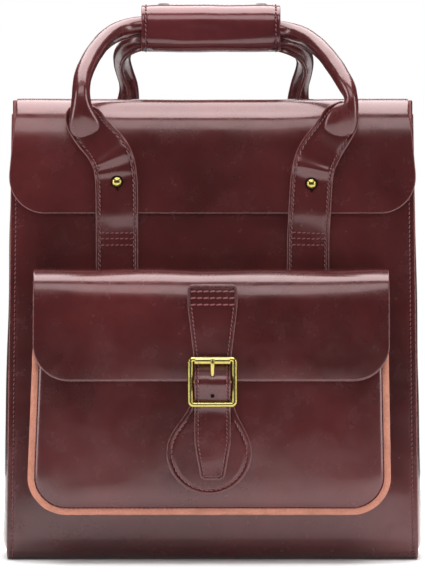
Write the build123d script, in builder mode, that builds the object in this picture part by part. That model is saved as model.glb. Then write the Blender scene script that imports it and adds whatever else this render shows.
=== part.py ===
from build123d import *
from math import atan2, cos, hypot, sin
import os

# Satchel with a buckled front pocket and two rolled handles joined by a grip wrap.
# Origin: middle of the base on the floor. +X to the bag's right seen from the front,
# -Y to the front, +Z up. Millimetres.

# main body
DEPTH = 115.0
LEATHER = 2.5
GAP = 0.3
BODY_TOP = 352.0
HALF_TOP = 156.5
HALF_BASE = 161.0
BASE_R = 18.0
GUSSET_HALF_TOP = 157.0
GUSSET_HALF_BASE = 163.0
SHELL_Y = DEPTH / 2

# main flap
FLAP_TOP = 361.1
FLAP_BOTTOM = 271.0
FLAP_HALF_TOP = 153.5
FLAP_HALF_BOTTOM = 160.0
FLAP_CORNER_R = 28.0
FLAP_FOLD_R = 10.0
FLAP_FACE = -61.1
FLAP_ROOT_BOTTOM = 296.0

# handle straps
STRAP_W = 33.0
STRAP_X = 74.5
STRAP_FREE_Z = 261.6
STRAP_LOW_Z = 205.0
REAR_FREE_Z = 323.0
REAR_LOW_Z = 215.0
FRONT_STRAP_Y = -61.4
REAR_STRAP_Y = 60.9

# rolled handles and grip
TUBE_R = 7.0
CORE_R = 4.6
GRIP_LEFT = -56.0
GRIP_RIGHT = 53.5
GRIP_Z = 416.5
GRIP_TALL = 37.0
GRIP_DEEP = 36.0
WRAP_T = 2.0
WRAP_R = 9.0
SNAP_X = 38.5
SNAP_Y = 3.0
COVER_EDGE = 9.5
SNAP_R = 4.75

# studs on the main flap
STUDS = [(-74.5, 296.0), (77.0, 294.5)]
STUD_POST_R = 1.7
STUD_HEAD_R = 4.0

# front pocket
POCKET_FACE = -101.5
POCKET_HALF = 140.0
POCKET_BOTTOM = 38.6
POCKET_TOP = 212.0
POCKET_CORNER_R = 30.0
SEAM_INSET = 3.4
PFLAP_HALF = 138.0
PFLAP_TOP = 227.5
PFLAP_BOTTOM = 142.0
PFLAP_FACE = -104.5
PFLAP_FOLD_R = 13.0
PFLAP_BACK = -61.0

# buckle
BUCKLE_Z = 141.7
BAR_Y = -109.5
BAR_R = 1.5
FRAME_Y = -111.0
FRAME_W = 38.0
FRAME_H = 39.0
WIRE = 4.0
ROLLER_R = 3.15
ROLLER_LEN = 28.0
TOP_BAR_Z = 158.0
LOOP_R = 3.2
PRONG_R = 1.2
BSTRAP_T = 2.2
BSTRAP_TOP = 217.0
BSTRAP_TIP = 65.7


def save(piece, label):
    """Names a piece and writes it to its own file."""
    piece.part.label = label
    export_step(piece.part, f"parts/{label}.step")


def trapezium(z_low, z_high, half_low, half_high):
    """Corner points of a symmetric four-sided outline seen from the front."""
    return [
        (-half_low, z_low),
        (half_low, z_low),
        (half_high, z_high),
        (-half_high, z_high),
    ]


def ribbon_edges(centres, widths):
    """Left and right edge points of a flat strap whose centre line bends."""
    left, right = [], []
    last = len(centres) - 1
    for i, (x, z) in enumerate(centres):
        before = centres[max(i - 1, 0)]
        after = centres[min(i + 1, last)]
        turn = atan2(after[1] - before[1], after[0] - before[0])
        half = widths[i] / 2
        left.append((x - half * sin(turn), z + half * cos(turn)))
        right.append((x + half * sin(turn), z - half * cos(turn)))
    return left, right


def strap_shape(centres, widths, y_low, y_high):
    """A flat bending strap between two depths, drawn as seen from the front."""
    left, right = ribbon_edges(centres, widths)
    with BuildPart() as strap:
        with BuildSketch(Plane.XZ.offset(-y_high)):
            with BuildLine():
                Spline(*left)
                Line(left[-1], right[-1])
                Spline(*right)
                Line(left[0], right[0])
            make_face()
        extrude(amount=y_high - y_low)
    return strap


def tube_shape(points, outer_r, inner_r, flares):
    """A round handle along a bending line; flares adds the flattened ends."""
    with BuildPart() as tube:
        with BuildLine() as path:
            Spline(*points)
        for radius, mode in ((outer_r, Mode.ADD), (inner_r, Mode.SUBTRACT)):
            if radius:
                with BuildSketch(Plane(origin=path.line @ 0, z_dir=path.line % 0)):
                    Circle(radius)
                sweep(path=path.line, mode=mode)
        for end, far, half_wide, half_deep in flares:
            at = path.line @ end
            along = path.line % end
            near_plane = Plane(origin=at, x_dir=(1, 0, 0), z_dir=along)
            far_plane = Plane(origin=far, x_dir=(1, 0, 0), z_dir=(0, 0, 1 if end == 0 else -1))
            with BuildSketch(near_plane):
                Circle(outer_r)
            with BuildSketch(far_plane):
                Ellipse(half_wide, half_deep)
            loft()
    return tube


def discs(spots, radius, thickness, plane):
    """Flat round solids standing on a plane at the given spots."""
    with BuildPart() as group:
        with BuildSketch(plane):
            with Locations(*spots):
                Circle(radius)
        extrude(amount=thickness)
    return group


os.makedirs("parts", exist_ok=True)

# ---------------------------------------------------------------- main body

BODY_OUTLINE = trapezium(0, BODY_TOP, HALF_BASE, HALF_TOP)


def wall_panel(side):
    """Front (-1) or back (+1) panel, rolling under at its foot."""
    face = side * SHELL_Y
    inner = side * (SHELL_Y - LEATHER)
    foot = side * (SHELL_Y - BASE_R)
    arc_mid = 0.7071
    inner_r = BASE_R - LEATHER
    with BuildPart() as panel:
        with BuildSketch(Plane.YZ):
            with BuildLine():
                Line((face, BODY_TOP), (face, BASE_R))
                ThreePointArc(
                    (face, BASE_R),
                    (foot + side * BASE_R * arc_mid, BASE_R * (1 - arc_mid)),
                    (foot, 0),
                )
                Line((foot, 0), (foot, LEATHER))
                ThreePointArc(
                    (foot, LEATHER),
                    (foot + side * inner_r * arc_mid, BASE_R - inner_r * arc_mid),
                    (inner, BASE_R),
                )
                Line((inner, BASE_R), (inner, BODY_TOP))
                Line((inner, BODY_TOP), (face, BODY_TOP))
            make_face()
        extrude(amount=HALF_BASE + 1, both=True)
        with BuildSketch(Plane.XZ):
            Polygon(*BODY_OUTLINE, align=None)
        extrude(amount=DEPTH, both=True, mode=Mode.INTERSECT)
    return panel


save(wall_panel(-1), "front_panel")
save(wall_panel(1), "back_panel")

FOOT_Y = SHELL_Y - BASE_R - GAP
with BuildPart() as bottom_panel:
    with BuildSketch():
        Rectangle(2 * (HALF_BASE - 0.5), 2 * FOOT_Y)
    extrude(amount=LEATHER)
save(bottom_panel, "bottom_panel")

with BuildPart() as base_board:
    with BuildSketch(Plane.XY.offset(LEATHER + GAP)):
        RectangleRounded(2 * 152, 2 * 36, 4)
    extrude(amount=2)
save(base_board, "base_board")


def gusset(side):
    """Left (-1) or right (+1) side wall between the two panels."""
    low, high = 3.0, 350.0
    inner_y = SHELL_Y - LEATHER - GAP
    with BuildPart() as wall:
        with BuildSketch(Plane.XZ):
            Polygon(
                (side * (GUSSET_HALF_BASE - LEATHER), low),
                (side * GUSSET_HALF_BASE, low),
                (side * GUSSET_HALF_TOP, high),
                (side * (GUSSET_HALF_TOP - LEATHER), high),
                align=None,
            )
        extrude(amount=inner_y, both=True)
        with BuildSketch(Plane.YZ):
            with Locations((0, (low + 380) / 2)):
                RectangleRounded(2 * inner_y, 380 - low, BASE_R - LEATHER - GAP)
        extrude(amount=200, both=True, mode=Mode.INTERSECT)
    return wall


save(gusset(-1), "gusset_left")
save(gusset(1), "gusset_right")

# ---------------------------------------------------------------- main flap

FLAP_BACK = SHELL_Y
FLAP_INNER = FLAP_FACE + LEATHER
SHEET_LOW = FLAP_TOP - LEATHER


def folded_sheet(back, face, top, bottom, fold_r):
    """Side view of a leather sheet running forward, then down the front."""
    inner_face = face + LEATHER
    inner_r = fold_r - LEATHER
    bend = 0.7071
    with BuildSketch(Plane.YZ) as section:
        with BuildLine():
            Line((back, top), (face + fold_r, top))
            ThreePointArc(
                (face + fold_r, top),
                (face + fold_r * (1 - bend), top - fold_r * (1 - bend)),
                (face, top - fold_r),
            )
            Line((face, top - fold_r), (face, bottom))
            Line((face, bottom), (inner_face, bottom))
            Line((inner_face, bottom), (inner_face, top - fold_r))
            ThreePointArc(
                (inner_face, top - fold_r),
                (face + fold_r - inner_r * bend, top - fold_r + inner_r * bend),
                (face + fold_r, top - LEATHER),
            )
            Line((face + fold_r, top - LEATHER), (back, top - LEATHER))
            Line((back, top - LEATHER), (back, top))
        make_face()
    return section.sketch


with BuildPart() as main_flap:
    flap_section = folded_sheet(FLAP_BACK, FLAP_FACE, FLAP_TOP, FLAP_BOTTOM, FLAP_FOLD_R)
    extrude(flap_section, amount=FLAP_HALF_BOTTOM + 1, both=True)
    with BuildSketch(Plane.XZ) as flap_outline:
        Polygon(
            *trapezium(FLAP_BOTTOM, FLAP_TOP, FLAP_HALF_BOTTOM, FLAP_HALF_TOP),
            align=None,
        )
        fillet(flap_outline.vertices().sort_by(Axis.Y)[:2], FLAP_CORNER_R)
    extrude(amount=DEPTH, both=True, mode=Mode.INTERSECT)
    with BuildSketch(Plane.XZ.offset(40)):
        with Locations(*STUDS):
            Circle(STUD_POST_R + 0.1)
    extrude(amount=30, mode=Mode.SUBTRACT)
save(main_flap, "main_flap")

with BuildPart() as flap_root:
    with BuildSketch(Plane.XZ.offset(-(SHELL_Y + GAP + LEATHER))) as root_outline:
        with Locations((0, (FLAP_ROOT_BOTTOM + SHEET_LOW - GAP) / 2)):
            Rectangle(2 * FLAP_HALF_TOP, SHEET_LOW - GAP - FLAP_ROOT_BOTTOM)
        fillet(root_outline.vertices().sort_by(Axis.Y)[:2], 12)
    extrude(amount=LEATHER)
save(flap_root, "flap_root")

# studs: a post through the flap with a domed head in front of the strap
with BuildPart() as studs:
    with BuildSketch(Plane.XZ.offset(-FLAP_INNER)):
        with Locations(*STUDS):
            Circle(STUD_POST_R)
    extrude(amount=FLAP_INNER + 64.2 + 1.2)
    with BuildSketch(Plane.XZ.offset(64.2)):
        with Locations(*STUDS):
            Circle(STUD_HEAD_R)
    extrude(amount=3.4)
    fillet(studs.faces().sort_by(Axis.Y)[:2].edges(), 2.8)
save(studs, "studs")
save(discs(STUDS, 4.5, 0.7, Plane.XZ.offset(-(FLAP_INNER + 0.7))), "stud_backs")

# ---------------------------------------------------------------- front straps and handle


def lower_strap(x, z_low, z_high, face_y):
    """The sewn-down part of a handle strap, its outer face at face_y."""
    with BuildPart() as strap:
        with BuildSketch(Plane.XZ.offset(-face_y)):
            with Locations((x, (z_low + z_high) / 2)):
                Rectangle(STRAP_W, z_high - z_low)
        extrude(amount=LEATHER)
    return strap


LOWER_BACK = -(SHELL_Y + GAP)
save(lower_strap(-STRAP_X, STRAP_LOW_Z, STRAP_FREE_Z - GAP, LOWER_BACK), "front_strap_left")
save(lower_strap(STRAP_X, STRAP_LOW_Z, STRAP_FREE_Z - GAP, LOWER_BACK), "front_strap_right")

FRONT_LEFT_LINE = [
    (-74.5, STRAP_FREE_Z),
    (-74.5, 282),
    (-75, 303),
    (-80, 320),
    (-91, 335),
    (-99, 352),
]
FRONT_RIGHT_LINE = [
    (74.5, STRAP_FREE_Z),
    (75.5, 282),
    (77, 303),
    (81, 318),
    (91, 334),
    (98, 351),
]
STRAP_WIDTHS = [33, 33, 33, 33, 32, 30]


def front_upper(line, stud):
    """The free part of a front strap, with its stud hole and slit."""
    strap = strap_shape(line, STRAP_WIDTHS, FRONT_STRAP_Y - LEATHER, FRONT_STRAP_Y)
    with BuildPart() as whole:
        add(strap.part)
        with BuildSketch(Plane.XZ.offset(-FRONT_STRAP_Y)):
            with Locations(stud):
                Circle(STUD_POST_R + 0.3)
            with Locations((stud[0], stud[1] - 4)):
                Rectangle(0.8, 8)
        extrude(amount=LEATHER, mode=Mode.SUBTRACT)
    return whole


save(front_upper(FRONT_LEFT_LINE, STUDS[0]), "front_strap_upper_left")
save(front_upper(FRONT_RIGHT_LINE, STUDS[1]), "front_strap_upper_right")

FRONT_TUBE_LINE = [
    (-102, -72.5, 362),
    (-102, -68, 371),
    (-99, -56, 384.5),
    (-92, -40, 398.6),
    (-78, -20, 412),
    (-56, -8.6, 419),
    (0, -8.8, 421),
    (54, -8.6, 416),
    (74, -20, 410.5),
    (86, -38, 398.6),
    (97.5, -56, 383),
    (105, -68, 369),
    (106, -72.5, 360),
]
FRONT_FLARES = [
    (0, (-100, -72.2, 336), 15.5, 7.5),
    (1, (99, -72.2, 335), 15.5, 7.5),
]
save(tube_shape(FRONT_TUBE_LINE, TUBE_R, CORE_R + 0.1, FRONT_FLARES), "front_tube")
save(tube_shape(FRONT_TUBE_LINE, CORE_R, 0, []), "front_core")

# ---------------------------------------------------------------- rear straps and handle

REAR_FACE = REAR_STRAP_Y + LEATHER
for name, x in (("left", -STRAP_X), ("right", STRAP_X)):
    low = lower_strap(x, REAR_LOW_Z, REAR_FREE_Z - GAP, REAR_FACE)
    save(low, f"rear_strap_{name}")
    high = lower_strap(x, REAR_FREE_Z, 362, REAR_FACE)
    save(high, f"rear_strap_upper_{name}")

REAR_TUBE_LINE = [
    (-66, 71.5, 363),
    (-68, 67, 377),
    (-71, 54, 391),
    (-70, 30, 401),
    (-63, 11.5, 407.5),
    (-50, 8.0, 410),
    (0, 8.0, 411),
    (48, 8.0, 409),
    (61, 11.5, 406.0),
    (70.5, 30, 399.5),
    (72, 54, 389),
    (70, 67, 376),
    (67, 71.5, 363),
]
REAR_FLARES = [
    (0, (-72, 71.6, 338), 15.0, 7.5),
    (1, (72, 71.6, 338), 15.0, 7.5),
]
save(tube_shape(REAR_TUBE_LINE, TUBE_R, CORE_R + 0.1, REAR_FLARES), "rear_tube")
save(tube_shape(REAR_TUBE_LINE, CORE_R, 0, []), "rear_core")

# ---------------------------------------------------------------- grip wrap

GRIP_MID = (GRIP_LEFT + GRIP_RIGHT) / 2
GRIP_LEN = GRIP_RIGHT - GRIP_LEFT
GRIP_TOP = GRIP_Z + GRIP_TALL / 2
GRIP_LOW = GRIP_Z - GRIP_TALL / 2


def wrap_ring(tall, deep, thickness):
    """The leather round both handles, as a closed ring."""
    with BuildPart() as ring:
        with BuildSketch(Plane.YZ.offset(GRIP_MID)):
            with Locations((0, GRIP_LOW + tall / 2)):
                RectangleRounded(deep, tall, WRAP_R)
                RectangleRounded(deep - 2 * thickness, tall - 2 * thickness, WRAP_R - thickness, mode=Mode.SUBTRACT)
        extrude(amount=GRIP_LEN / 2, both=True)
    return ring


# the back half lies on the rear handle and ends under the cover's top edge
TUCK = WRAP_T + 0.5
with BuildPart() as grip_wrap:
    add(wrap_ring(GRIP_TALL - TUCK, GRIP_DEEP, WRAP_T).part)
    with BuildSketch(Plane.YZ):
        Polygon((0, 380), (0, 425), (-2, 425), (-2, 440), (40, 440), (40, 380), align=None)
    extrude(amount=80, both=True, mode=Mode.INTERSECT)
save(grip_wrap, "grip_wrap")

# the front half closes over the top on two press studs
with BuildPart() as grip_cover:
    add(wrap_ring(GRIP_TALL, GRIP_DEEP, WRAP_T).part)
    with BuildSketch(Plane.YZ):
        Polygon(
            (-GAP, 380),
            (-GAP, GRIP_TOP - WRAP_T),
            (COVER_EDGE, GRIP_TOP - WRAP_T),
            (COVER_EDGE, 440),
            (-40, 440),
            (-40, 380),
            align=None,
        )
    extrude(amount=80, both=True, mode=Mode.INTERSECT)
save(grip_cover, "grip_cover")

SNAPS = [(-SNAP_X, SNAP_Y), (SNAP_X, SNAP_Y)]
save(discs(SNAPS, SNAP_R, 1.2, Plane.XY.offset(GRIP_TOP + 0.05)), "snap_caps")
save(discs(SNAPS, 2.6, 0.15, Plane.XY.offset(GRIP_TOP - WRAP_T - 0.15)), "snap_sockets")
save(discs(SNAPS, 2.6, 0.8, Plane.XY.offset(GRIP_TOP - TUCK - WRAP_T - 0.8)), "snap_posts")

# ---------------------------------------------------------------- front pocket


def pocket_outline(inset, top):
    """Pocket outline seen from the front, square at the top and round below."""
    half = POCKET_HALF - inset
    low = POCKET_BOTTOM + inset
    with BuildSketch() as outline:
        with Locations((0, (low + top) / 2)):
            Rectangle(2 * half, top - low)
        fillet(outline.vertices().sort_by(Axis.Y)[:2], POCKET_CORNER_R - inset)
    return outline.sketch


POCKET_FULL = pocket_outline(0, POCKET_TOP)
POCKET_SEAM = pocket_outline(SEAM_INSET, POCKET_TOP)
POCKET_HOLLOW = pocket_outline(SEAM_INSET + LEATHER, POCKET_TOP + 2)
POCKET_BACK = -(SHELL_Y + GAP)
with BuildPart() as pocket_front:
    with BuildSketch(Plane.XZ.offset(-POCKET_FACE - LEATHER)):
        add(POCKET_FULL)
    extrude(amount=LEATHER)
save(pocket_front, "pocket_front")

GUSSET_FRONT = POCKET_FACE + LEATHER + GAP
with BuildPart() as pocket_gusset:
    with BuildSketch(Plane.XZ.offset(-POCKET_BACK)):
        add(POCKET_SEAM)
        add(POCKET_HOLLOW, mode=Mode.SUBTRACT)
    extrude(amount=POCKET_BACK - GUSSET_FRONT)
    with BuildSketch(Plane.XZ.offset(-GUSSET_FRONT - LEATHER)):
        add(POCKET_FULL)
        add(POCKET_HOLLOW, mode=Mode.SUBTRACT)
    extrude(amount=LEATHER)
save(pocket_gusset, "pocket_gusset")

with BuildPart() as pocket_flap:
    pflap_section = folded_sheet(PFLAP_BACK, PFLAP_FACE, PFLAP_TOP, PFLAP_BOTTOM, PFLAP_FOLD_R)
    extrude(pflap_section, amount=PFLAP_HALF, both=True)
    with BuildSketch(Plane.XZ) as pflap_outline:
        with Locations((0, (PFLAP_BOTTOM + PFLAP_TOP) / 2)):
            Rectangle(2 * PFLAP_HALF, PFLAP_TOP - PFLAP_BOTTOM)
        fillet(pflap_outline.vertices().sort_by(Axis.Y)[:2], 28)
    extrude(amount=DEPTH, both=True, mode=Mode.INTERSECT)
save(pocket_flap, "pocket_flap")

# ---------------------------------------------------------------- buckle

# teardrop patch sewn to the pocket, its neck looping round the buckle's middle bar
PATCH_BACK = POCKET_FACE - GAP
NECK_Z = 119.5
with BuildPart() as whole_chape:
    with BuildSketch(Plane.XZ.offset(-PATCH_BACK)):
        with Locations((-2, 87)):
            Circle(33)
        Polygon((-31, 102), (29, 101), (16.5, 124), (-16.5, 124), align=None)
    extrude(amount=2)
    with BuildSketch(Plane.YZ):
        Polygon(
            (PATCH_BACK, 116),
            (PATCH_BACK - 2, 116),
            (PATCH_BACK - 2.6, 124),
            (BAR_Y + 1.4, BUCKLE_Z - 3.4),
            (BAR_Y + 2.7, BUCKLE_Z - 1.0),
            (PATCH_BACK - 2.8, 137.6),
            align=None,
        )
    extrude(amount=13, both=True)
    with BuildSketch(Plane.YZ):
        with Locations((BAR_Y, BUCKLE_Z)):
            Circle(LOOP_R)
    extrude(amount=13, both=True)
    with BuildSketch(Plane.YZ):
        with Locations((BAR_Y, BUCKLE_Z)):
            Circle(BAR_R + 0.1)
    extrude(amount=20, both=True, mode=Mode.SUBTRACT)
    with BuildSketch(Plane.XZ.offset(-BAR_Y - 10)):
        with Locations((0, 145)):
            Rectangle(5.2, 20)
    extrude(amount=20, mode=Mode.SUBTRACT)

# the sewn patch ends at the neck, which bends forward with the buckle
with BuildPart() as buckle_chape:
    add(whole_chape)
    split(bisect_by=Plane.XY.offset(NECK_Z - 0.1), keep=Keep.BOTTOM)
save(buckle_chape, "buckle_chape")

with BuildPart() as chape_neck:
    add(whole_chape)
    split(bisect_by=Plane.XY.offset(NECK_Z + 0.1), keep=Keep.TOP)
save(chape_neck, "chape_neck")

with BuildPart() as buckle_frame:
    with BuildSketch(Plane.XZ.offset(-FRAME_Y - WIRE / 2)):
        with Locations((0, BUCKLE_Z)):
            RectangleRounded(FRAME_W, FRAME_H, 4)
            RectangleRounded(FRAME_W - 2 * WIRE, FRAME_H - 2 * WIRE, 0.8, mode=Mode.SUBTRACT)
    extrude(amount=WIRE)
    chamfer(buckle_frame.faces().sort_by(Axis.Y)[0].edges(), 0.9)
    with BuildSketch(Plane.XZ.offset(-FRAME_Y - 10)):
        with Locations((0, TOP_BAR_Z)):
            Rectangle(ROLLER_LEN + 0.6, 8)
    extrude(amount=20, mode=Mode.SUBTRACT)
    for y, z, radius in ((FRAME_Y, TOP_BAR_Z, 1.8), (BAR_Y, BUCKLE_Z, BAR_R)):
        with BuildSketch(Plane.YZ):
            with Locations((y, z)):
                Circle(radius)
        extrude(amount=FRAME_W / 2 - 1, both=True)
save(buckle_frame, "buckle_frame")

with BuildPart() as buckle_roller:
    with BuildSketch(Plane.YZ):
        with Locations((FRAME_Y, TOP_BAR_Z)):
            Circle(ROLLER_R)
            Circle(1.85, mode=Mode.SUBTRACT)
    extrude(amount=ROLLER_LEN / 2, both=True)
save(buckle_roller, "buckle_roller")

PRONG_LINE = [(-112.0, 142.6), (-113.1, 146.5), (-114.7, 152.0), (-115.65, 157.5), (-115.2, 161.6)]
with BuildPart() as buckle_prong:
    with BuildLine() as prong_path:
        Spline(*[(0, y, z) for y, z in PRONG_LINE])
    with BuildSketch(Plane(origin=prong_path.line @ 0, z_dir=prong_path.line % 0)):
        Circle(PRONG_R)
    sweep(path=prong_path.line)
    with BuildSketch(Plane.YZ):
        with Locations((BAR_Y, BUCKLE_Z)):
            Circle(3.1)
    extrude(amount=1.9, both=True)
    with BuildSketch(Plane.YZ):
        with Locations((BAR_Y, BUCKLE_Z)):
            Circle(BAR_R + 0.05)
    extrude(amount=3, both=True, mode=Mode.SUBTRACT)
save(buckle_prong, "buckle_prong")

# strap: flat on the pocket flap, behind the roller, over the middle bar, behind the lower bar
BSTRAP_LINE = [
    (-105.95, 217.5),
    (-105.95, 190.0),
    (-105.95, 164.0),
    (-106.1, 158.0),
    (-108.6, 151.5),
    (-113.0, 145.5),
    (-114.3, 141.7),
    (-113.0, 137.0),
    (-109.3, 130.5),
    (-106.7, 124.0),
    (-105.4, 117.0),
    (-105.25, 105.0),
    (-105.25, 65.0),
]


def offset_line(points, distance):
    """Points moved sideways from a bending line, in the plane of the line."""
    moved = []
    last = len(points) - 1
    for i, (y, z) in enumerate(points):
        before = points[max(i - 1, 0)]
        after = points[min(i + 1, last)]
        dy = after[0] - before[0]
        dz = after[1] - before[1]
        length = hypot(dy, dz)
        moved.append((y + distance * dz / length, z - distance * dy / length))
    return moved


with BuildPart() as buckle_strap:
    front_side = offset_line(BSTRAP_LINE, BSTRAP_T / 2)
    back_side = offset_line(BSTRAP_LINE, -BSTRAP_T / 2)
    with BuildSketch(Plane.YZ):
        with BuildLine():
            Spline(*front_side)
            Line(front_side[-1], back_side[-1])
            Spline(*back_side)
            Line(front_side[0], back_side[0])
        make_face()
    extrude(amount=20, both=True)
    with BuildSketch(Plane.XZ):
        Polygon(
            (-17.2, BSTRAP_TOP),
            (17.2, BSTRAP_TOP),
            (19.25, BSTRAP_TOP - 4),
            (19.25, 200),
            (14.75, 164),
            (14.0, 158),
            (14.0, 94),
            (9.7, 69),
            (6.5, BSTRAP_TIP),
            (-6.5, BSTRAP_TIP),
            (-9.7, 69),
            (-14.0, 94),
            (-14.0, 158),
            (-14.75, 164),
            (-19.25, 200),
            (-19.25, BSTRAP_TOP - 4),
            align=None,
        )
        with Locations((0, 147.0)):
            SlotOverall(10.5, 3.8, rotation=90, mode=Mode.SUBTRACT)
        with Locations((0, 131.0)):
            Circle(1.25, mode=Mode.SUBTRACT)
    extrude(amount=2 * DEPTH, both=True, mode=Mode.INTERSECT)
save(buckle_strap, "buckle_strap")
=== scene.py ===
import math

import bpy
import numpy as np
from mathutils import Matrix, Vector, noise


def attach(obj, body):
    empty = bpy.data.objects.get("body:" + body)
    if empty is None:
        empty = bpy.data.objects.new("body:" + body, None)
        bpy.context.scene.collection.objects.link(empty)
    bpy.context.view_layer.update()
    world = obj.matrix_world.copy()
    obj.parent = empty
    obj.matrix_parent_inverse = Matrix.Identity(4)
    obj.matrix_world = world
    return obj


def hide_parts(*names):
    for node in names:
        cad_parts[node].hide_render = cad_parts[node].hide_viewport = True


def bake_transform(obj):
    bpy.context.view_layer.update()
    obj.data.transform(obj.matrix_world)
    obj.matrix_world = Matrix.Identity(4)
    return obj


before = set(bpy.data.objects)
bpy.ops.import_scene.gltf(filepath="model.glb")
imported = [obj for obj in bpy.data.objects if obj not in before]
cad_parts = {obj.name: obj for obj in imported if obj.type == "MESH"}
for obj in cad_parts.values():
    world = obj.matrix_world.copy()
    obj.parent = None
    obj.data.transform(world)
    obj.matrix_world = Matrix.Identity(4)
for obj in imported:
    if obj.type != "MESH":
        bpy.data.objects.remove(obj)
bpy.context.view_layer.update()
MM = 0.001

# ------------------------------------------------------------------ materials


class Shader:
    """A small helper to wire a node material."""

    def __init__(self, name):
        self.mat = bpy.data.materials.new(name)
        self.mat.use_nodes = True
        self.tree = self.mat.node_tree
        self.bsdf = self.tree.nodes["Principled BSDF"]
        rest = self.node("ShaderNodeAttribute")
        rest.attribute_name = "rest"
        self.rest = rest.outputs["Vector"]

    def node(self, kind, **inputs):
        made = self.tree.nodes.new(kind)
        for key, value in inputs.items():
            self.put(made.inputs[key.replace("_", " ")], value)
        return made

    def put(self, socket, value):
        if isinstance(value, bpy.types.NodeSocket):
            self.tree.links.new(value, socket)
        else:
            socket.default_value = value

    def fact(self, name):
        attr = self.node("ShaderNodeAttribute")
        attr.attribute_name = name
        return attr.outputs["Fac"]

    def math(self, op, a, b):
        made = self.node("ShaderNodeMath")
        made.operation = op
        self.put(made.inputs[0], a)
        self.put(made.inputs[1], b)
        return made.outputs[0]

    def noise(self, scale, detail=3.0, rough=0.5, vector=None, distortion=0.0):
        made = self.node(
            "ShaderNodeTexNoise",
            Vector=self.rest if vector is None else vector,
            Scale=scale,
            Detail=detail,
            Roughness=rough,
            Distortion=distortion,
        )
        return made.outputs["Fac"]

    def stretch(self, x, y, z):
        made = self.node("ShaderNodeVectorMath")
        made.operation = "MULTIPLY"
        self.put(made.inputs[0], self.rest)
        made.inputs[1].default_value = (x, y, z)
        return made.outputs[0]

    def cells(self, scale, vector=None, feature="F1"):
        made = self.node("ShaderNodeTexVoronoi", Vector=self.rest if vector is None else vector, Scale=scale)
        made.feature = feature
        return made.outputs["Distance"]

    def span(self, value, low, high, to_low=0.0, to_high=1.0):
        made = self.node("ShaderNodeMapRange")
        made.clamp = True
        self.put(made.inputs["Value"], value)
        made.inputs["From Min"].default_value = low
        made.inputs["From Max"].default_value = high
        made.inputs["To Min"].default_value = to_low
        made.inputs["To Max"].default_value = to_high
        return made.outputs[0]

    def mix(self, factor, a, b):
        made = self.node("ShaderNodeMix")
        made.data_type = "RGBA"
        self.put(made.inputs[0], factor)
        self.put(made.inputs[6], a)
        self.put(made.inputs[7], b)
        return made.outputs[2]

    def bump(self, layers):
        normal = None
        for height, depth in layers:
            made = self.node("ShaderNodeBump", Height=height, Strength=1.0, Distance=depth)
            if normal is not None:
                self.put(made.inputs["Normal"], normal)
            normal = made.outputs["Normal"]
        self.put(self.bsdf.inputs["Normal"], normal)

    def set(self, **values):
        for key, value in values.items():
            self.put(self.bsdf.inputs[key.replace("_", " ")], value)


def leather(name, tone=(0.072, 0.0122, 0.0128), gloss=0.22, wave=0.9, crease=0.0):
    """Glazed smooth leather: fine pores, slow waves that bend its reflections, worn rims, painted shade in
    the stitch groove.
    """
    s = Shader(name)
    dark = tuple(c * 0.62 for c in tone) + (1,)
    light = tuple(c * 1.35 for c in tone) + (1,)
    worn = (tone[0] * 2.6, tone[1] * 4.2, tone[2] * 3.8, 1)
    clouds = s.noise(9.0, 4.0, 0.55)
    mottle = s.noise(140.0, 5.0, 0.6)
    base = s.mix(s.span(clouds, 0.36, 0.66), dark, light)
    base = s.mix(s.span(mottle, 0.3, 0.7, 0.0, 0.35), base, dark)
    rim = s.math("MULTIPLY", s.fact("rim"), s.span(s.noise(260.0, 3.0, 0.7), 0.35, 0.62))
    base = s.mix(s.math("MULTIPLY", rim, 0.6), base, worn)
    # painted shade: the colour is darkened along the stitch groove, where shade falls
    groove_shade = s.fact("groove_shade")
    base = s.mix(s.math("MULTIPLY", groove_shade, 0.55), base, tuple(c * 0.35 for c in tone) + (1,))
    rough = s.span(s.noise(60.0, 6.0, 0.65), 0.3, 0.75, gloss * 0.75, gloss * 1.5)
    rough = s.math("ADD", rough, s.math("MULTIPLY", rim, 0.16))
    scuffs = s.span(s.noise(34.0, 7.0, 0.75, s.stretch(1.0, 1.0, 0.25), 0.6), 0.62, 0.72, 0.0, 0.1)
    rough = s.math("ADD", rough, scuffs)
    s.set(Base_Color=base, Roughness=rough, IOR=1.5, Coat_Weight=0.3, Coat_Roughness=0.08)
    s.set(Specular_IOR_Level=0.85, Specular_Tint=(1.0, 0.70, 0.71, 1))
    pores = s.span(s.cells(1150.0), 0.0, 0.55)
    layers = [
        (s.noise(13.0, 2.0, 0.4), 0.0016 * wave),
        (s.noise(42.0, 2.0, 0.4), 0.00016 * wave),
        (s.noise(420.0, 4.0, 0.6), 0.000014),
        (pores, 0.000010),
    ]
    if crease:
        lines = s.span(s.cells(95.0, s.stretch(1.0, 1.0, 2.6), "DISTANCE_TO_EDGE"), 0.0, 0.09)
        layers.append((lines, 0.00035 * crease))
    s.bump(layers)
    return s.mat


def cut_edge(name, tone=(0.60, 0.245, 0.175)):
    """Raw cut edge of the hide: pale, matt, fibrous, stained darker in patches."""
    s = Shader(name)
    fibres = s.noise(900.0, 5.0, 0.7)
    patches = s.noise(70.0, 4.0, 0.6)
    base = s.mix(s.span(fibres, 0.3, 0.7), tuple(c * 0.62 for c in tone) + (1,), tone + (1,))
    base = s.mix(s.span(patches, 0.45, 0.72, 0.0, 0.6), base, tuple(c * 0.45 for c in tone) + (1,))
    s.set(Base_Color=base, Roughness=s.span(patches, 0.3, 0.7, 0.5, 0.72), Specular_IOR_Level=0.35)
    s.bump([(fibres, 0.00012), (patches, 0.0001)])
    return s.mat


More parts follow.
